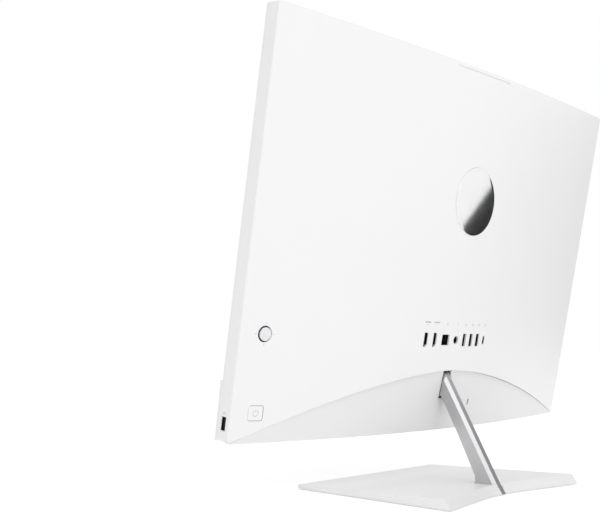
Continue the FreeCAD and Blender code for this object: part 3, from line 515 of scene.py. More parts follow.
def finishes():
    """One maker for each material slot."""
    tones = settings("finish")
    bar_turn = (math.radians(-90.0) + BAR_LEAN, 0.0, 0.0)
    upright = (0.0, 0.0, math.radians(90.0))
    return {
        "shell_white": lambda n: satin_plastic(n, tones.shell),
        # Painted shade: a darker copy of the shell's white plastic, for the shaded lower cover.
        "lower_white": lambda n: satin_plastic(n, tones.lower),
        "base_white": lambda n: satin_plastic(n, tones.base, 0.34),
        "frame_white": lambda n: satin_plastic(n, tones.shell, 0.36),
        "arm_aluminium": lambda n: brushed_metal(n, tones.bar, bar_turn),
        "badge_chrome": lambda n: polished_metal(n, tones.disc),
        "screen_glass": screen_glass,
        "panel_black": dark_panel,
        "light_guide": lambda n: satin_plastic(n, (0.75, 0.78, 0.80), 0.15),
        "grille_cloth": lambda n: cloth(n, tones.cloth),
        "sheet_steel": lambda n: galvanised_sheet(n, (0.55, 0.56, 0.57)),
        "base_steel": lambda n: powder_coat(n, (0.62, 0.62, 0.63)),
        "pin_steel": lambda n: brushed_metal(n, (0.50, 0.50, 0.51), (0, 0, 0), 60.0, 1200.0),
        "circuit_green": circuit_board,
        "socket_black": lambda n: black_plastic(n, 0.006, 0.5),
        "moulded_black": black_plastic,
        "speaker_cone": lambda n: black_plastic(n, 0.02, 0.7),
        "stick_grey": lambda n: brushed_metal(n, tones.stick, upright, 90.0, 500.0, 0.34),
        "heat_copper": lambda n: brushed_metal(n, (0.72, 0.36, 0.22), (0, 0, 0), 30.0, 700.0),
        "fin_aluminium": lambda n: brushed_metal(n, (0.68, 0.68, 0.69), upright, 20.0, 900.0),
        "ribbon": lambda n: satin_plastic(n, (0.42, 0.26, 0.07), 0.3),
        "lens_glass": lens_glass,
        "foot_rubber": soft_rubber,
        "mark_ink": lambda n: printed_ink(n, tones.ink),
        "floor": pale_floor,
        "flag": dark_card,
    }


def material(slot):
    """The material of one slot, made once."""
    found = bpy.data.materials.get("finish_" + slot)
    return found or finishes()[slot]("finish_" + slot)


# --- meshes -----------------------------------------------------------------------------
def new_object(name, mesh):
    """An object with this mesh, at the origin."""
    made = bpy.data.objects.new(name, mesh)
    bpy.context.scene.collection.objects.link(made)
    return made


def object_from(name, shape, place=None):
    """An object from a bmesh, with its place in its mesh."""
    bmesh.ops.remove_doubles(shape, verts=shape.verts, dist=0.002 * MM)
    bmesh.ops.dissolve_degenerate(shape, edges=shape.edges, dist=0.001 * MM)
    bmesh.ops.recalc_face_normals(shape, faces=shape.faces)
    mesh = bpy.data.meshes.new(name)
    shape.to_mesh(mesh)
    shape.free()
    if place is not None:
        mesh.transform(place)
    return new_object(name, mesh)


def baked(made):
    """Turns an object's modifiers into its mesh."""
    bpy.context.view_layer.update()
    result = bpy.data.meshes.new_from_object(made.evaluated_get(bpy.context.evaluated_depsgraph_get()))
    old = made.data
    made.modifiers.clear()
    made.data = result
    bpy.data.meshes.remove(old)
    return made


def drop(made):
    """Removes a helper object."""
    mesh = made.data
    bpy.data.objects.remove(made)
    bpy.data.meshes.remove(mesh)


def cut(made, cutter, operation="DIFFERENCE"):
    """Cuts one solid with another, or joins them, and removes the second."""
    step = made.modifiers.new("cut", "BOOLEAN")
    step.operation = operation
    step.solver = "EXACT"
    step.object = cutter
    baked(made)
    drop(cutter)
    if not made.data.polygons:
        raise RuntimeError(made.name + " lost its mesh to a cut")
    return made


def softened(made, width, segments=3, angle=30.0):
    """Rounds the edges that turn by more than an angle."""
    step = made.modifiers.new("bevel", "BEVEL")
    step.width = width
    step.segments = segments
    step.limit_method = "ANGLE"
    step.angle_limit = math.radians(angle)
    step.miter_outer = "MITER_ARC"
    return baked(made)


def shaded(made, angle=32.0):
    """Smooth shading that keeps flat faces flat and sharp edges sharp."""
    made.data.polygons.foreach_set("use_smooth", [True] * len(made.data.polygons))
    made.data.set_sharp_from_angle(angle=math.radians(angle))
    step = made.modifiers.new("normals", "WEIGHTED_NORMAL")
    step.keep_sharp = True
    return baked(made)


def fitted(made, body, slot, *replaced):
    """Gives a finished piece its material and its body, and hides the nodes that it stands for."""
    made.data.materials.clear()
    made.data.materials.append(material(slot))
    made.data.polygons.foreach_set("material_index", [0] * len(made.data.polygons))
    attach(made, body)
    if replaced:
        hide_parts(*replaced)
    return made


def node_shape(node):
    """Clean bmesh of a node: joined vertices and whole flat faces."""
    shape = bmesh.new()
    shape.from_mesh(frame["nodes"][node].data)
    bmesh.ops.remove_doubles(shape, verts=shape.verts, dist=0.003 * MM)
    bmesh.ops.dissolve_limit(shape, angle_limit=math.radians(0.4), verts=shape.verts, edges=shape.edges)
    return shape


def node_copy(node, name):
    """A new piece with the shape of a node."""
    return object_from(name, node_shape(node))


def islands(node):
    """Box of every separate solid of a node, in the head's space."""
    shape = bmesh.new()
    shape.from_mesh(frame["nodes"][node].data)
    shape.transform(HEAD.inverted())
    bmesh.ops.remove_doubles(shape, verts=shape.verts, dist=0.003 * MM)
    left = set(shape.verts)
    boxes = []
    while left:
        found, rim = set(), [next(iter(left))]
        while rim:
            vert = rim.pop()
            if vert in found:
                continue
            found.add(vert)
            rim.extend(e.other_vert(vert) for e in vert.link_edges)
        left -= found
        low = Vector([min(v.co[i] for v in found) for i in range(3)])
        high = Vector([max(v.co[i] for v in found) for i in range(3)])
        boxes.append((low, high))
    shape.free()
    return sorted(boxes, key=lambda pair: pair[0].x)


def loft(sections):
    """Closed solid through sections that all have the same number of points."""
    shape = bmesh.new()
    rings = [[shape.verts.new(point) for point in section] for section in sections]
    count = len(rings[0])
    for first, second in zip(rings, rings[1:]):
        for i in range(count):
            j = (i + 1) % count
            shape.faces.new((first[i], first[j], second[j], second[i]))
    shape.faces.new(rings[0])
    shape.faces.new(list(reversed(rings[-1])))
    return shape


def prism(outline, y0, y1):
    """Solid from an outline of (x, z) points, between two depths."""
    return loft([[Vector((x, y, z)) for x, z in outline] for y in (y0, y1)])


def box_shape(low, high):
    """Block between two corners."""
    outline = [(low[0], low[2]), (high[0], low[2]), (high[0], high[2]), (low[0], high[2])]
    return prism(outline, low[1], high[1])


def turned(profile, steps=96):
    """Solid of revolution about z from a profile of (radius, height) points on the axis at both ends."""
    shape = bmesh.new()
    rings = []
    for radius, height in profile:
        if radius == 0.0:
            rings.append([shape.verts.new((0.0, 0.0, height))])
            continue
        angles = [2 * math.pi * k / steps for k in range(steps)]
        rings.append([shape.verts.new((radius * math.cos(a), radius * math.sin(a), height)) for a in angles])
    for first, second in zip(rings, rings[1:]):
        for k in range(steps):
            j = (k + 1) % steps
            corners = [first[k % len(first)], first[j % len(first)],
                       second[j % len(second)], second[k % len(second)]]
            shape.faces.new(list(dict.fromkeys(corners)))
    return shape


def rounded_outline(x0, x1, z0, z1, radius, steps=6):
    """Rectangle with round corners."""
    centres = [(x1 - radius, z1 - radius, 0), (x0 + radius, z1 - radius, 1),
               (x0 + radius, z0 + radius, 2), (x1 - radius, z0 + radius, 3)]
    points = []
    for x, z, quarter in centres:
        for k in range(steps + 1):
            angle = math.pi / 2 * (quarter + k / steps)
            points.append((x + radius * math.cos(angle), z + radius * math.sin(angle)))
    return points


def joined(shapes):
    """One bmesh from several."""
    whole = bmesh.new()
    for shape in shapes:
        mesh = bpy.data.meshes.new("part")
        shape.to_mesh(mesh)
        shape.free()
        whole.from_mesh(mesh)
        bpy.data.meshes.remove(mesh)
    return whole


# --- repeats by Geometry Nodes ----------------------------------------------------------
def repeated(name, spots, unit, slot, turns=None):
    """Copies of a unit mesh at spots, each turned about z by its own angle, as one plain mesh."""
    mesh = bpy.data.meshes.new(name)
    mesh.from_pydata([tuple(spot) for spot in spots], [], [])
    angles = mesh.attributes.new("turn", "FLOAT", "POINT")
    angles.data.foreach_set("value", turns or [0.0] * len(spots))
    made = new_object(name, mesh)
    tree = bpy.data.node_groups.new(name + "_tree", "GeometryNodeTree")
    sockets = {}
    for label, kind in (("Spots", "NodeSocketGeometry"), ("Unit", "NodeSocketObject"),
                        ("Size", "NodeSocketFloat"), ("Finish", "NodeSocketMaterial")):
        sockets[label] = tree.interface.new_socket(label, in_out="INPUT", socket_type=kind).identifier
    tree.interface.new_socket("Pieces", in_out="OUTPUT", socket_type="NodeSocketGeometry")
    nodes = Nodes(tree)
    inputs = nodes.node("NodeGroupInput").outputs
    info = nodes.node("GeometryNodeObjectInfo", None, {"Object": inputs["Unit"]})
    turn = nodes.node("GeometryNodeInputNamedAttribute", {"data_type": "FLOAT"}, {"Name": "turn"})
    spin = nodes.node("ShaderNodeCombineXYZ", None, {"Z": turn.outputs[0]})
    placed = nodes.node("GeometryNodeInstanceOnPoints", None,
                        {"Points": inputs["Spots"], "Instance": info.outputs["Geometry"],
                         "Rotation": spin.outputs[0], "Scale": inputs["Size"]})
    real = nodes.node("GeometryNodeRealizeInstances", None, {"Geometry": placed.outputs[0]})
    finish = nodes.node("GeometryNodeSetMaterial", None,
                        {"Geometry": real.outputs[0], "Material": inputs["Finish"]})
    nodes.node("NodeGroupOutput", None, {0: finish.outputs[0]})
    step = made.modifiers.new("repeat", "NODES")
    step.node_group = tree
    step[sockets["Unit"]] = unit
    step[sockets["Size"]] = 1.0
    step[sockets["Finish"]] = material(slot)
    baked(made)
    drop(unit)
    return made


def placed(made, matrix):
    """Moves a piece's mesh."""
    made.data.transform(matrix)
    return made


# --- surfaces of the head ---------------------------------------------------------------
def dome(u, v):
    """Depth of the rear cover's surface."""
    s = settings("shell")
    share = max(0.0, (v - s.dome_level) / (HEIGHT - s.dome_level))
    depth = s.dome_depth - (s.dome_depth - s.dome_top_depth) * share ** 3
    return s.edge_depth + depth * (1 - (u / HALF) ** 2)


def low_dome(u, v):
    """Depth of the lower cover's surface."""
    s = settings("shell")
    return s.edge_depth + (s.low_dome_depth + s.low_dome_rise * v) * (1 - (u / HALF) ** 2)


def arc(u):
    """Height of the parting arc."""
    s = settings("shell")
    return s.arc_height * (1 - min(1.0, abs(u) / HALF) ** s.arc_power)


def rounding(distance, radius):
    """How far a rounded edge drops at a distance inside it."""
    if distance >= radius:
        return 0.0
    return radius - math.sqrt(max(0.0, radius ** 2 - (radius - max(distance, 0.0)) ** 2))


def inside(u, v, inset, corner):
    """Distance from the head's outline, moved in by an inset."""
    across = abs(u) - (HALF - inset - corner)
    upward = abs(v - HEIGHT / 2) - (HEIGHT / 2 - inset - corner)
    if across > 0 and upward > 0:
        return corner - math.hypot(across, upward)
    return corner - max(across, upward)


def v_limits(u, inset, corner):
    """Lowest and highest place of the outline at one place across."""
    over = max(0.0, abs(u) - (HALF - inset - corner))
    fall = corner - math.sqrt(max(0.0, corner ** 2 - over ** 2))
    return inset + fall, HEIGHT - inset - fall


def edge_steps(radius, corner):
    """Distances from an edge that draw its rounding, a guard line and the corner."""
    arcs = [radius * (1 - math.cos(math.pi / 8 * k)) for k in range(5)]
    return arcs + [radius * 1.4, (radius * 1.4 + corner) / 2, corner]


def spread(low, high, count):
    """Evenly spaced numbers, ends included."""
    return [low + (high - low) * k / count for k in range(count + 1)]


def across_places(end, steps, count):
    """Places across the head: close together at both ends."""
    middle = spread(-(end - steps[-1]), end - steps[-1], count)
    left = [-(end - s) for s in steps[:-1]]
    return left + middle + [-u for u in reversed(left)]


def rear_section(u):
    """Outline of the rear cover's solid at one place across."""
    s = settings("shell")
    low, high = v_limits(u, 0.0, s.corner)
    start = max(arc(u), low)
    rim = edge_steps(s.edge_round, s.corner)
    lip = [s.arc_round * (1 - math.cos(math.pi / 6 * k)) for k in range(4)] + [s.arc_round * 1.7]
    rows = [start + d for d in lip] + spread(start + 4 * MM, high - rim[-1], 40)
    rows += [high - d for d in reversed(rim[:-1])]
    points = [(FRAME_DEPTH, low), (s.edge_depth, low), (s.edge_depth, start)]
    for v in rows:
        fall = rounding(inside(u, v, 0.0, s.corner), s.edge_round)
        fall = max(fall, rounding(v - start, s.arc_round))
        points.append((max(dome(u, v) - fall, s.edge_depth - s.edge_round), v))
    points.append((FRAME_DEPTH, high))
    return [Vector((u, w, v)) for w, v in points]


def rear_hollow_section(u):
    """Outline of the space inside the rear cover at one place across."""
    s = settings("shell")
    low, high = v_limits(u, s.wall, s.corner - s.wall)
    lip_top = max(arc(u) + 2.0 * MM, low + 1.0 * MM)
    under = [(low_dome(u, v) - s.wall - s.gap, v) for v in spread(low, lip_top, 4)]
    over = [(dome(u, v) - s.wall, v) for v in spread(lip_top + 0.05 * MM, high, 20)]
    points = [(-1 * MM, low)] + under + over + [(-1 * MM, high)]
    return [Vector((u, w, v)) for w, v in points]


def low_section(u):
    """Outline of the lower cover's solid at one place across."""
    s = settings("shell")
    top = arc(u) - s.gap
    foot = [s.edge_round * (1 - math.cos(math.pi / 8 * k)) for k in range(5)] + [s.edge_round * 1.4]
    head = [0.3 * MM * (1 - math.cos(math.pi / 4 * k)) for k in range(3)]
    rows = [min(d, top * 0.5) for d in foot]
    rows += spread(min(foot[-1] * 1.5, top * 0.55), max(top - 0.5 * MM, top * 0.6), 14)
    rows += [top - d for d in reversed(head)]
    floor = s.edge_depth + s.gap
    points = [(floor, 0.0)]
    for v in rows:
        fall = max(rounding(v, s.edge_round), rounding(top - v, 0.3 * MM))
        points.append((max(low_dome(u, v) - fall, floor + 0.02 * MM), v))
    points.append((floor, top))
    return [Vector((u, w, v)) for w, v in points]


def low_hollow_section(u):
    """Outline of the space in front of the lower cover's wall at one place across."""
    s = settings("shell")
    rows = spread(s.wall, s.arc_height + 5 * MM, 12)
    points = [(-1 * MM, rows[0])] + [(low_dome(u, v) - s.wall, v) for v in rows] + [(-1 * MM, rows[-1])]
    return [Vector((u, w, v)) for w, v in points]


def surface_frame(u, v, depth=dome):
    """Matrix on a rear surface: x towards -u, y up, z out of the surface, in the head's space."""
    step = 0.01 * MM
    slope_u = (depth(u + step, v) - depth(u - step, v)) / (2 * step)
    slope_v = (depth(u, v + step) - depth(u, v - step)) / (2 * step)
    normal = Vector((-slope_u, 1, -slope_v)).normalized()
    across = -Vector((1, slope_u, 0)).normalized()
    upward = normal.cross(across)
    turn = Matrix((across, upward, normal)).transposed().to_4x4()
    return Matrix.Translation(Vector((u, depth(u, v), v))) @ turn


def spot_of(node):
    """Where a node that sits on the rear surface is: its place across and up."""
    low, high = head_box(node)
    return (low.x + high.x) / 2, (low.z + high.z) / 2


def vent_cutter(name, u0, u1, low, high, count):
    """Row of blocks that cut vent slots."""
    s = settings("shell")
    pitch = (u1 - u0) / count
    unit = new_object("vent_unit", bpy.data.meshes.new("vent_unit"))
    shape = box_shape((0.0, low[0], low[1]), (s.vent_width, high[0], high[1]))
    shape.to_mesh(unit.data)
    shape.free()
    made = repeated(name, [(u0 + k * pitch, 0, 0) for k in range(count)], unit, "shell_white")
    flipped = bmesh.new()
    flipped.from_mesh(made.data)
    bmesh.ops.recalc_face_normals(flipped, faces=flipped.faces)
    flipped.to_mesh(made.data)
    flipped.free()
    return made


FRAME_DEPTH = head_box("rear_cover")[0].y
BAR_LEAN = math.radians(29.3)


# --- pieces of the head -----------------------------------------------------------------
BEYOND = 0.5
CAMERA_CAP_THICK = 4.2 * MM
CAMERA_CAP_FRONT = 0.6 * MM
CAMERA_HALF = 38 * MM
CAMERA_DEPTHS = (10.5 * MM, 22.3 * MM)
CAMERA_FOOT = 0.34
PORT_DEPTHS = (32 * MM, 60 * MM)
SEAT_GAP = 0.15 * MM
SEAT_DEPTH = 0.9 * MM
STICK_HOLE_DEPTH = 9 * MM
KEY_HOLE_DEPTH = 6 * MM
SIDE_PORT_GAP = 0.3 * MM
TOP_VENTS = (96 * MM, 166 * MM)
TOP_VENT_COUNT = 14
INTAKE_VENTS = (60 * MM, 150 * MM)
INTAKE_VENT_COUNT = 18
LOCK_HALF_WIDTH = 1.5 * MM
LOCK_HALF_HEIGHT = 3.5 * MM
LOCK_CORNER = 0.6 * MM
SLOT_CORNER = 1.2 * MM
CLOTH_LEAN = 1.7 * MM


def port_outline(node, low, high):
    """Outline of the opening in front of one socket."""
    gap = settings("shell").gap
    x0, x1, z0, z1 = low.x - gap, high.x + gap, low.z - gap, high.z + gap
    if node == "power_inlet":
        return rounded_outline(x0, x1, z0, z1, (x1 - x0) / 2 - 0.01 * MM, 12)
    if node == "usb_c_socket":
        return rounded_outline(x0, x1, z0, z1, (x1 - x0) / 2 - 0.01 * MM)
    if node == "hdmi_sockets":
        slant = 2.2 * MM
        return [(x1, z1 - 0.4 * MM), (x1 - 0.4 * MM, z1), (x0 + slant * 0.5, z1), (x0, z1 - slant),
                (x0, z0 + slant * 1.5), (x0 + slant, z0 + 0.2 * MM), (x1 - 0.8 * MM, z0),
                (x1, z0 + 0.4 * MM)]
    return rounded_outline(x0, x1, z0, z1, 0.7 * MM)


PORT_NODES = ("hdmi_sockets", "network_socket", "power_inlet", "usb_a_sockets", "usb_c_socket")


def build_rear_cover():
    """Domed shell with its openings."""
    s = settings("shell")
    d = settings("detail")
    steps = edge_steps(s.edge_round, s.corner)
    places = across_places(HALF, steps, 56)
    made = object_from("rear_shell", loft([rear_section(u) for u in places]))
    inner_end = HALF - s.wall
    inner = across_places(inner_end, [0.0, 0.4 * MM, s.corner - s.wall], 40)
    cut(made, object_from("hollow", loft([rear_hollow_section(u) for u in inner])))

    arm_room = box_shape((-s.slot_half - 1 * MM, 0, 0),
                         (s.slot_half + 1 * MM, dome(0, s.arc_height) - s.wall, 90 * MM))
    cut(made, object_from("arm_room", arm_room))
    low, high = head_box("camera_housing")
    rim = s.gap
    lip = high.z - CAMERA_CAP_THICK
    cap = box_shape((low.x - rim, low.y - CAMERA_CAP_FRONT - rim, lip - rim),
                    (high.x + rim, 80 * MM, BEYOND))
    cut(made, object_from("camera_cap_room", cap))
    body_half = CAMERA_HALF + rim
    room = box_shape((-body_half, CAMERA_DEPTHS[0], CAMERA_FOOT), (body_half, CAMERA_DEPTHS[1], BEYOND))
    cut(made, object_from("camera_room", room))
    ports = []
    for node in PORT_NODES:
        ports += [prism(port_outline(node, a, b), *PORT_DEPTHS) for a, b in islands(node)]
    cut(made, object_from("ports", joined(ports)))

    rim = d.badge_radius + SEAT_GAP
    lip = rim + 0.55 * MM
    seat = turned([(0, -SEAT_DEPTH), (rim, -SEAT_DEPTH), (rim, -0.3 * MM),
                   (lip, 0.3 * MM), (lip, 8 * MM), (0, 8 * MM)], 128)
    cut(made, object_from("seat", seat, surface_frame(*spot_of("badge"))))
    rim = d.stick_hole
    lip = rim + 0.4 * MM
    deep = STICK_HOLE_DEPTH
    stick = turned([(0, -deep), (rim, -deep), (rim, -0.4 * MM), (lip, 0.3 * MM), (lip, deep), (0, deep)], 72)
    cut(made, object_from("stick_hole", stick, surface_frame(*spot_of("joystick_cap"))))
    half_x, half_z = d.key_width / 2 + d.key_gap, d.key_height / 2 + d.key_gap
    key = rounded_outline(-half_x, half_x, -half_z, half_z, d.key_corner + d.key_gap, 8)
    lift = surface_frame(*spot_of("power_button")) @ Matrix.Rotation(math.radians(90), 4, "X")
    cut(made, object_from("key_hole", prism(key, -KEY_HOLE_DEPTH, KEY_HOLE_DEPTH), lift))
    low, high = head_box("side_usb_socket")
    rim = SIDE_PORT_GAP
    port = box_shape((HALF - 6 * MM, low.y - rim, low.z - rim), (HALF + 2 * MM, high.y + rim, high.z + rim))
    cut(made, object_from("side_port", port))
    vents = vent_cutter("top_vents", *TOP_VENTS, (12 * MM, HEIGHT - 5 * MM),
                        (22 * MM, HEIGHT + 1 * MM), TOP_VENT_COUNT)
    cut(made, vents)
    placed(made, HEAD)
    shaded(made)
    fitted(made, "head", "shell_white", "rear_cover")


def build_lower_cover():
    """Recessed cover with the bar's slot, the lock slot and the intake slots."""
    s = settings("shell")
    end = HALF - s.corner - 0.3 * MM
    places = across_places(end, [0.0, 1.0 * MM, 4.0 * MM], 48)
    made = object_from("lower_shell", loft([low_section(u) for u in places]))
    beyond = end + 1 * MM
    hollow = loft([low_hollow_section(u) for u in spread(-beyond, beyond, 40)])
    cut(made, object_from("hollow", hollow))
    slot = rounded_outline(-s.slot_half, s.slot_half, s.slot_low, 100 * MM, SLOT_CORNER)
    cut(made, object_from("bar_slot", prism(slot, 0, 80 * MM)))
    lock = rounded_outline(-LOCK_HALF_WIDTH, LOCK_HALF_WIDTH, -LOCK_HALF_HEIGHT, LOCK_HALF_HEIGHT,
                           LOCK_CORNER)
    lift = surface_frame(*spot_of("lock_plate"), low_dome) @ Matrix.Rotation(math.radians(90), 4, "X")
    cut(made, object_from("lock_hole", prism(lock, -8 * MM, 8 * MM), lift))
    for side, name in ((-1, "left_vents"), (1, "right_vents")):
        start, stop = sorted(side * place for place in INTAKE_VENTS)
        vents = vent_cutter(name, start, stop, (17.5 * MM, -1 * MM), (24.5 * MM, s.wall + 0.5 * MM),
                            INTAKE_VENT_COUNT)
        cut(made, vents)
    placed(made, HEAD)
    shaded(made)
    # Its finish is the shell's white drawn darker as painted shade.
    fitted(made, "head", "lower_white", "lower_cover")


def build_front():
    """Frame, glass, chin bar and its ribbed cloth."""
    d = settings("detail")
    for node, name, width in (("middle_frame", "frame_ring", 0.25), ("chin_cover", "chin_bar", 0.3)):
        piece = softened(node_copy(node, name), width * MM, 2)
        fitted(shaded(piece), "head", "frame_white", node)
    glass = softened(node_copy("cover_glass", "front_glass"), 0.2 * MM, 2)
    fitted(shaded(glass), "head", "screen_glass", "cover_glass")

    low, high = head_box("speaker_grille")
    backing = node_copy("speaker_grille", "cloth_backing")
    fitted(shaded(backing), "head", "grille_cloth", "speaker_grille")
    count = int((high.z - low.z) / d.rib_pitch) - 1
    angles = [math.pi * k / 4 for k in range(5)]
    radius = d.rib_radius
    profile = [(-radius * 0.7 * math.sin(a), radius * math.cos(a)) for a in angles]
    ends = (low.x + 0.1 * MM, high.x - 0.1 * MM)
    unit = object_from("rib_unit", loft([[Vector((x, y, z)) for y, z in profile] for x in ends]))
    spots = []
    for k in range(count):
        z = low.z + d.rib_pitch * (k + 0.8)
        spots.append((0.0, head_front_at(z), z))
    ribs = repeated("cloth_ribs", spots, unit, "grille_cloth")
    placed(ribs, HEAD)
    fitted(shaded(ribs), "head", "grille_cloth")


def head_front_at(v):
    """Depth of the cloth's front face at one height."""
    chin_low, chin_high = head_box("chin_cover")
    share = (v - chin_low.z) / (chin_high.z - chin_low.z)
    return -(1.6 * MM + CLOTH_LEAN * share) + 0.35 * MM


def build_badge():
    """Crowned, polished disc let into the back."""
    d = settings("detail")
    rim, proud = d.badge_radius, d.badge_proud
    shares = [1 - k / 10 for k in range(1, 10)]
    faces = [(rim * share, proud + d.badge_crown * (1 - share ** 2)) for share in shares]
    edge = [(rim, -0.8 * MM), (rim, 0.05 * MM), (rim - 0.12 * MM, 0.24 * MM), (rim - 0.4 * MM, proud)]
    profile = [(0, -0.8 * MM)] + edge + faces + [(0, proud + d.badge_crown)]
    made = object_from("rear_disc", turned(profile, 144), HEAD @ surface_frame(*spot_of("badge")))
    fitted(shaded(made, 60), "head", "badge_chrome", "badge")


def build_camera():
    """Camera block in the top edge."""
    piece = softened(node_copy("camera_housing", "camera_block"), 0.3 * MM, 2, 40)
    fitted(shaded(piece), "camera", "shell_white", "camera_housing")


# --- marks ------------------------------------------------------------------------------
def bar(x0, x1, y0, y1):
    """Flat bar as an outline in millimetres."""
    return [(x0, y0), (x1, y0), (x1, y1), (x0, y1)]


def ring(radius, width, start=0.0, stop=360.0, steps=20):
    """Flat ring or part of one, as outlines in millimetres. Angles are in degrees."""
    cells = []
    for k in range(steps):
        first = math.radians(start + (stop - start) * k / steps)
        second = math.radians(start + (stop - start) * (k + 1) / steps)
        inner, outer = radius - width / 2, radius + width / 2
        cells.append([(inner * math.cos(first), inner * math.sin(first)),
                      (outer * math.cos(first), outer * math.sin(first)),
                      (outer * math.cos(second), outer * math.sin(second)),
                      (inner * math.cos(second), inner * math.sin(second))])
    return cells


def frame_mark(half_x, half_y, width):
    """Rectangle drawn as four bars."""
    return [bar(-half_x, half_x, half_y - width, half_y), bar(-half_x, half_x, -half_y, -half_y + width),
            bar(-half_x, -half_x + width, -half_y + width, half_y - width),
            bar(half_x - width, half_x, -half_y + width, half_y - width)]


MARKS = {
    "hdmi_sockets": [bar(-5.0, 5.0, 1.1, 2.3), bar(-0.9, 0.9, -1.2, -0.7)],
    "network_socket": [bar(-0.5, 0.5, 0.8, 1.7), bar(-1.2, -0.3, -0.6, 0.3), bar(0.3, 1.2, -0.6, 0.3)],
    "power_inlet": [bar(-0.25, 0.25, -1.5, 2.3), bar(-0.5, 0.5, -6.4, -5.6)],
    "usb_a_sockets": frame_mark(1.6, 0.9, 0.4),
    "usb_c_socket": frame_mark(1.6, 0.7, 0.4),
}


def mark_shape(outlines, place):
    """Thin solids from outlines, laid on a surface."""
    rise = settings("detail").mark_rise
    parts = []
    for outline in outlines:
        points = [(x * MM, y * MM) for x, y in outline]
        parts.append(loft([[Vector((x, y, z)) for x, y in points] for z in (-rise / 4, rise)]))
    whole = joined(parts)
    bmesh.ops.transform(whole, matrix=place, verts=whole.verts)
    return whole


def build_marks():
    """Pictograms over the sockets, on the key and over the side socket."""
    d = settings("detail")
    shapes = []
    for node in PORT_NODES:
        for low, high in islands(node):
            middle = (low + high) / 2
            shapes.append(mark_shape(MARKS[node], surface_frame(middle.x, middle.z + d.mark_above)))
    low, high = head_box("side_usb_socket")
    side = Matrix(((0, 0, 1), (-1, 0, 0), (0, 1, 0))).to_4x4()
    lift = Matrix.Translation(Vector((HALF, (low.y + high.y) / 2, high.z + 3.6 * MM)))
    shapes.append(mark_shape(frame_mark(1.5, 0.8, 0.35), lift @ side))
    made = object_from("port_marks", joined(shapes), HEAD)
    fitted(shaded(made), "head", "mark_ink")

    symbol = ring(3.0, 0.42, 120, 420, 28) + [bar(-0.21, 0.21, 1.0, 3.8)]
    sign = object_from("power_mark", mark_shape(symbol, surface_frame(*spot_of("power_button"))), HEAD)
    fitted(shaded(sign), "power_key", "mark_ink")


def build_controls():
    """Power key, menu stick and the ticks round it."""
    d = settings("detail")
    key = softened(node_copy("power_button", "power_key_cap"), d.shell_bevel, 3, 40)
    fitted(shaded(key), "power_key", "shell_white", "power_button")

    place = HEAD @ surface_frame(*spot_of("joystick_cap"))
    radius, proud, bore = d.stick_radius, d.stick_proud, d.stick_bore
    shares = [1 - k / 8 for k in range(8)]
    dish = [(radius * 0.86 * share, proud - 0.35 * MM * (1 - share ** 2)) for share in shares]
    profile = [(0, 0.3 * MM), (bore, 0.3 * MM), (bore, -d.stick_skirt),
               (radius - 0.3 * MM, -d.stick_skirt), (radius, 0.3 * MM - d.stick_skirt),
               (radius, proud - 0.45 * MM), (radius - 0.12 * MM, proud - 0.14 * MM),
               (radius - 0.45 * MM, proud)]
    profile += dish + [(0, proud - 0.35 * MM)]
    cap = object_from("stick_top", turned(profile, 72), place)
    fitted(shaded(cap, 50), "stick_cap", "stick_grey", "joystick_cap")

    unit = object_from("tick_unit", mark_shape([bar(-0.55, 0.55, -0.3, 0.3)], Matrix.Identity(4)))
    angles = [math.pi / 2 * k for k in range(4)]
    spots = [(d.tick_radius * math.cos(a), d.tick_radius * math.sin(a), 0.0) for a in angles]
    ticks = repeated("stick_ticks", spots, unit, "mark_ink", angles)
    placed(ticks, place)
    fitted(shaded(ticks), "head", "mark_ink")


# --- stand ------------------------------------------------------------------------------
def heel_bed():
    """Block that closes the corners of the base's slot round the bar's chamfers."""
    d = settings("detail")
    low, high = d.heel_high - 2.8 * MM, d.heel_high
    rears = [d.heel_rear - 0.11 * MM - d.heel_slope * (z - d.heel_low) for z in (low, high)]
    front = rears[1] - 5 * MM
    profile = [(front, low), (rears[0], low), (rears[1], high), (front, high - 0.17 * MM)]
    half = d.bar_half + 0.4 * MM
    return loft([[Vector((x, y, z)) for y, z in profile] for x in (-half, half)])


def build_base():
    """Flat wedge of the base and its rubber feet."""
    d = settings("detail")
    cover = node_copy("base_cover", "base_shell")
    cut(cover, object_from("heel_bed", heel_bed()), "UNION")
    for shape in heel_shapes(0.1 * MM):
        cut(cover, object_from("heel_room", shape))
    softened(cover, d.base_bevel, 3, 25)
    fitted(shaded(cover), "stand", "base_white", "base_cover")
    feet = softened(node_copy("base_feet", "rubber_feet"), 0.25 * MM, 2, 40)
    fitted(shaded(feet), "stand", "foot_rubber", "base_feet")


def heel_section(z, grow, reach=None):
    """Outline of the bar's heel at one height, its rear in the base's slope, its depth set by reach."""
    d = settings("detail")
    chamfer = d.bar_half - d.bar_rear_half
    depth = chamfer / math.cos(BAR_LEAN)
    rear = d.heel_rear - d.heel_slope * (z - d.heel_low)
    half, side = d.bar_half, rear - depth
    front = side - 8 * MM
    if reach is not None:
        half = d.bar_rear_half + chamfer * reach / depth
        side = front = rear - reach
    points = [(-half - grow, front), (half + grow, front), (half + grow, side),
              (d.bar_rear_half + grow, rear + grow), (-d.bar_rear_half - grow, rear + grow),
              (-half - grow, side)]
    return [Vector((x, y, z)) for x, y in dict.fromkeys(points)]


def heel_shapes(grow):
    """Heel of the bar: a block over the plate, and a strip behind the plate down to the underside."""
    d = settings("detail")
    plate_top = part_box("base_plate")[1].z
    low, high = d.heel_low - grow, d.heel_high + grow
    upper = loft([heel_section(z, grow) for z in (plate_top, high)])
    lower = loft([heel_section(z, grow, 1.85 * MM) for z in (low, plate_top + 0.1 * MM)])
    return upper, lower


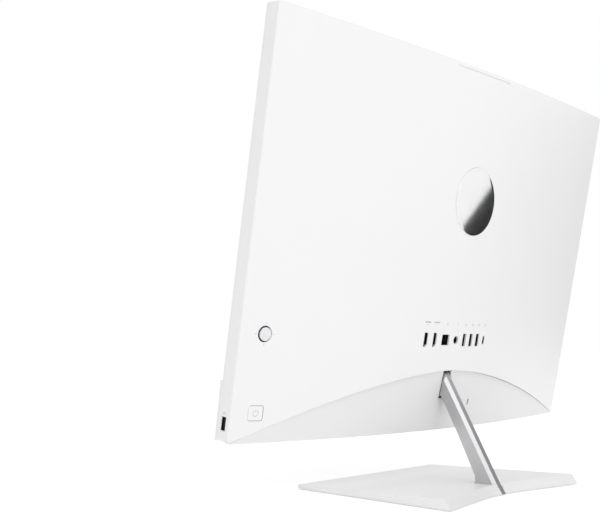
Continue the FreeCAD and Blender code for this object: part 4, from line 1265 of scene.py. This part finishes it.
def build_arm():
    """Bar with a small fillet where it meets the base."""
    d = settings("detail")
    bar_piece = node_copy("arm", "stand_bar")
    points = [v.co for v in frame["nodes"]["arm"].data.vertices]
    foot_low = min(p.z for p in points)
    foot_front = min(p.y for p in points if p.z < foot_low + 0.1 * MM)
    half = max(p.x for p in points)
    lean = math.tan(BAR_LEAN)
    reach = d.foot_flare
    ground = d.foot_ground
    front = foot_front - (ground - foot_low) * lean
    outline = [(front + 3 * MM, ground - 1 * MM), (front - reach, ground - 1 * MM)]
    for k in range(9):
        angle = math.pi / 2 * k / 8
        rise = reach * (1 - math.cos(angle))
        back = reach * (1 - math.sin(angle))
        outline.append((front - back - rise * lean, ground + rise))
    outline.append((front + 3 * MM - reach * lean, ground + reach))
    flare = loft([[Vector((x, y, z)) for y, z in outline] for x in (-half, half)])
    cut(bar_piece, object_from("flare", flare), "UNION")
    for shape in heel_shapes(0.0):
        cut(bar_piece, object_from("heel", shape), "UNION")
    softened(bar_piece, d.bar_bevel, 2, 30)
    fitted(shaded(bar_piece, 25), "stand", "arm_aluminium", "arm")


def finish_nodes():
    """Gives every node that still shows its material."""
    for part in frame["record"]["subparts"]:
        node = frame["nodes"][part["node"]]
        if node.hide_render:
            continue
        node.data.materials.clear()
        node.data.materials.append(material(part["material_slot"]))


# --- stage ------------------------------------------------------------------------------
# name, place, target, width, height, watts, spread in degrees
LIGHTS = (
    ("key", (0.15, 1.20, 1.00), (0.0, 0.0, 0.34), 1.0, 0.8, 1.1, 120),
    ("edge", (0.78, 0.94, 0.99), (0.0, 0.0, 0.10), 0.4, 0.4, 0.4, 120),
    ("overhead", (0.0, 0.1, 2.2), (0.0, 0.0, 0.0), 1.6, 1.6, 3.5, 180),
    ("front", (-1.0, -2.2, 1.5), (0.0, 0.0, 0.25), 1.6, 1.2, 5.0, 180),
)


def area_light(name, place, target, width, height, watts, spread):
    """Soft box that looks at a target. Its spread is in degrees."""
    lamp = bpy.data.lights.new(name, "AREA")
    lamp.spread = math.radians(spread)
    lamp.shape = "RECTANGLE"
    lamp.size = width
    lamp.size_y = height
    lamp.energy = watts
    made = bpy.data.objects.new(name, lamp)
    bpy.context.scene.collection.objects.link(made)
    made.location = place
    made.rotation_euler = (Vector(target) - Vector(place)).to_track_quat("-Z", "Y").to_euler()


def build_flag():
    """Dark card that only reflections see: it gives the disc and the bar their dark side."""
    outline = [(-0.16, -0.28), (0.90, -0.28), (0.90, 0.30), (0.17, 0.30)]
    across = Vector((-0.555, -0.830, 0.05))
    middle = Vector((-0.83, 0.59, 0.30))
    mesh = bpy.data.meshes.new("flag")
    corners = [middle + across * x + Vector((0.0, 0.0, z)) for x, z in outline]
    mesh.from_pydata(corners, [], [range(len(corners))])
    card = new_object("flag", mesh)
    mesh.materials.append(material("flag"))
    card.visible_camera = False
    card.visible_diffuse = False
    card.visible_shadow = False


def build_stage():
    """Floor, soft lights, pale surroundings and the camera."""
    s = settings("stage")
    half = s.floor_size / 2
    shape = bmesh.new()
    bmesh.ops.create_grid(shape, x_segments=8, y_segments=8, size=half)
    floor = object_from("floor", shape)
    floor.data.materials.append(material("floor"))

    world = bpy.data.worlds.new("surroundings")
    world.use_nodes = True
    bpy.context.scene.world = world
    nodes = Nodes(world.node_tree)
    nodes.tree.nodes.clear()
    path = nodes.node("ShaderNodeLightPath").outputs
    sharp = Value(nodes, path["Is Camera Ray"]).greatest(Value(nodes, path["Is Glossy Ray"]))
    plain = nodes.node("ShaderNodeBackground", None, {"Color": (1, 1, 1, 1), "Strength": s.backdrop})
    lighting = nodes.node("ShaderNodeBackground", None, {"Color": (1, 1, 1, 1), "Strength": s.ambient})
    mixed = nodes.node("ShaderNodeMixShader", None,
                       {0: sharp, 1: lighting.outputs[0], 2: plain.outputs[0]})
    nodes.node("ShaderNodeOutputWorld", None, {"Surface": mixed.outputs[0]})

    for light in LIGHTS:
        area_light(*light)
    build_flag()

    camera = bpy.data.cameras.new("camera")
    camera.lens = s.camera_lens
    camera.sensor_width = 36.0
    camera.shift_x, camera.shift_y = s.camera_shift
    made = bpy.data.objects.new("camera", camera)
    bpy.context.scene.collection.objects.link(made)
    made.location = s.camera_place
    made.rotation_euler = (math.radians(90) + s.camera_pitch, 0, s.camera_turn)
    bpy.context.scene.camera = made
    bpy.context.scene.view_settings.view_transform = "Standard"


# --- operators --------------------------------------------------------------------------
class COMPUTER_OT_stage(bpy.types.Operator):
    """Builds the floor, the lights and the camera"""
    bl_idname = "computer.stage"
    bl_label = "Stage"

    def execute(self, context):
        build_stage()
        return {"FINISHED"}


class COMPUTER_OT_rear_cover(bpy.types.Operator):
    """Builds the domed rear shell"""
    bl_idname = "computer.rear_cover"
    bl_label = "Rear cover"

    def execute(self, context):
        build_rear_cover()
        return {"FINISHED"}


class COMPUTER_OT_lower_cover(bpy.types.Operator):
    """Builds the recessed shell under the arc"""
    bl_idname = "computer.lower_cover"
    bl_label = "Lower cover"

    def execute(self, context):
        build_lower_cover()
        return {"FINISHED"}


class COMPUTER_OT_front(bpy.types.Operator):
    """Builds the frame, the glass, the chin bar and its cloth"""
    bl_idname = "computer.front"
    bl_label = "Front"

    def execute(self, context):
        build_front()
        return {"FINISHED"}


class COMPUTER_OT_badge(bpy.types.Operator):
    """Builds the polished disc on the back"""
    bl_idname = "computer.badge"
    bl_label = "Disc"

    def execute(self, context):
        build_badge()
        return {"FINISHED"}


class COMPUTER_OT_camera(bpy.types.Operator):
    """Builds the camera block in the top edge"""
    bl_idname = "computer.camera"
    bl_label = "Camera"

    def execute(self, context):
        build_camera()
        return {"FINISHED"}


class COMPUTER_OT_marks(bpy.types.Operator):
    """Builds the pictograms by the sockets and on the key"""
    bl_idname = "computer.marks"
    bl_label = "Marks"

    def execute(self, context):
        build_marks()
        return {"FINISHED"}


class COMPUTER_OT_controls(bpy.types.Operator):
    """Builds the power key, the menu stick and its ticks"""
    bl_idname = "computer.controls"
    bl_label = "Controls"

    def execute(self, context):
        build_controls()
        return {"FINISHED"}


class COMPUTER_OT_base(bpy.types.Operator):
    """Builds the base's shell and feet"""
    bl_idname = "computer.base"
    bl_label = "Base"

    def execute(self, context):
        build_base()
        return {"FINISHED"}


class COMPUTER_OT_arm(bpy.types.Operator):
    """Builds the bar between base and head"""
    bl_idname = "computer.arm"
    bl_label = "Bar"

    def execute(self, context):
        build_arm()
        return {"FINISHED"}


class COMPUTER_OT_nodes(bpy.types.Operator):
    """Gives the parts that stay as they are their finishes"""
    bl_idname = "computer.nodes"
    bl_label = "Other parts"

    def execute(self, context):
        finish_nodes()
        return {"FINISHED"}


OPERATORS = [
    COMPUTER_OT_stage,
    COMPUTER_OT_rear_cover,
    COMPUTER_OT_lower_cover,
    COMPUTER_OT_front,
    COMPUTER_OT_badge,
    COMPUTER_OT_camera,
    COMPUTER_OT_marks,
    COMPUTER_OT_controls,
    COMPUTER_OT_base,
    COMPUTER_OT_arm,
    COMPUTER_OT_nodes,
]


class COMPUTER_PT_sidebar(bpy.types.Panel):
    """Lists the pieces and their sizes."""
    bl_idname = "COMPUTER_PT_sidebar"
    bl_label = "Computer"
    bl_space_type = "VIEW_3D"
    bl_region_type = "UI"
    bl_category = "Computer"

    def draw(self, context):
        for operator in OPERATORS:
            self.layout.operator(operator.bl_idname)
        for name, group in GROUPS.items():
            box = self.layout.box()
            box.label(text=group.__doc__)
            for key in group.__annotations__:
                box.prop(settings(name), key)


CLASSES = [*GROUPS.values(), *OPERATORS, COMPUTER_PT_sidebar]


def register():
    for item in CLASSES:
        bpy.utils.register_class(item)
    for name, group in GROUPS.items():
        setattr(bpy.types.Scene, "computer_" + name, PointerProperty(type=group))


def unregister():
    for name in GROUPS:
        delattr(bpy.types.Scene, "computer_" + name)
    for item in reversed(CLASSES):
        bpy.utils.unregister_class(item)


def main():
    register()
    bpy.ops.computer.stage()
    bpy.ops.computer.rear_cover()
    bpy.ops.computer.lower_cover()
    bpy.ops.computer.front()
    bpy.ops.computer.badge()
    bpy.ops.computer.camera()
    bpy.ops.computer.marks()
    bpy.ops.computer.controls()
    bpy.ops.computer.base()
    bpy.ops.computer.arm()
    bpy.ops.computer.nodes()


if __name__ == "__main__":
    main()
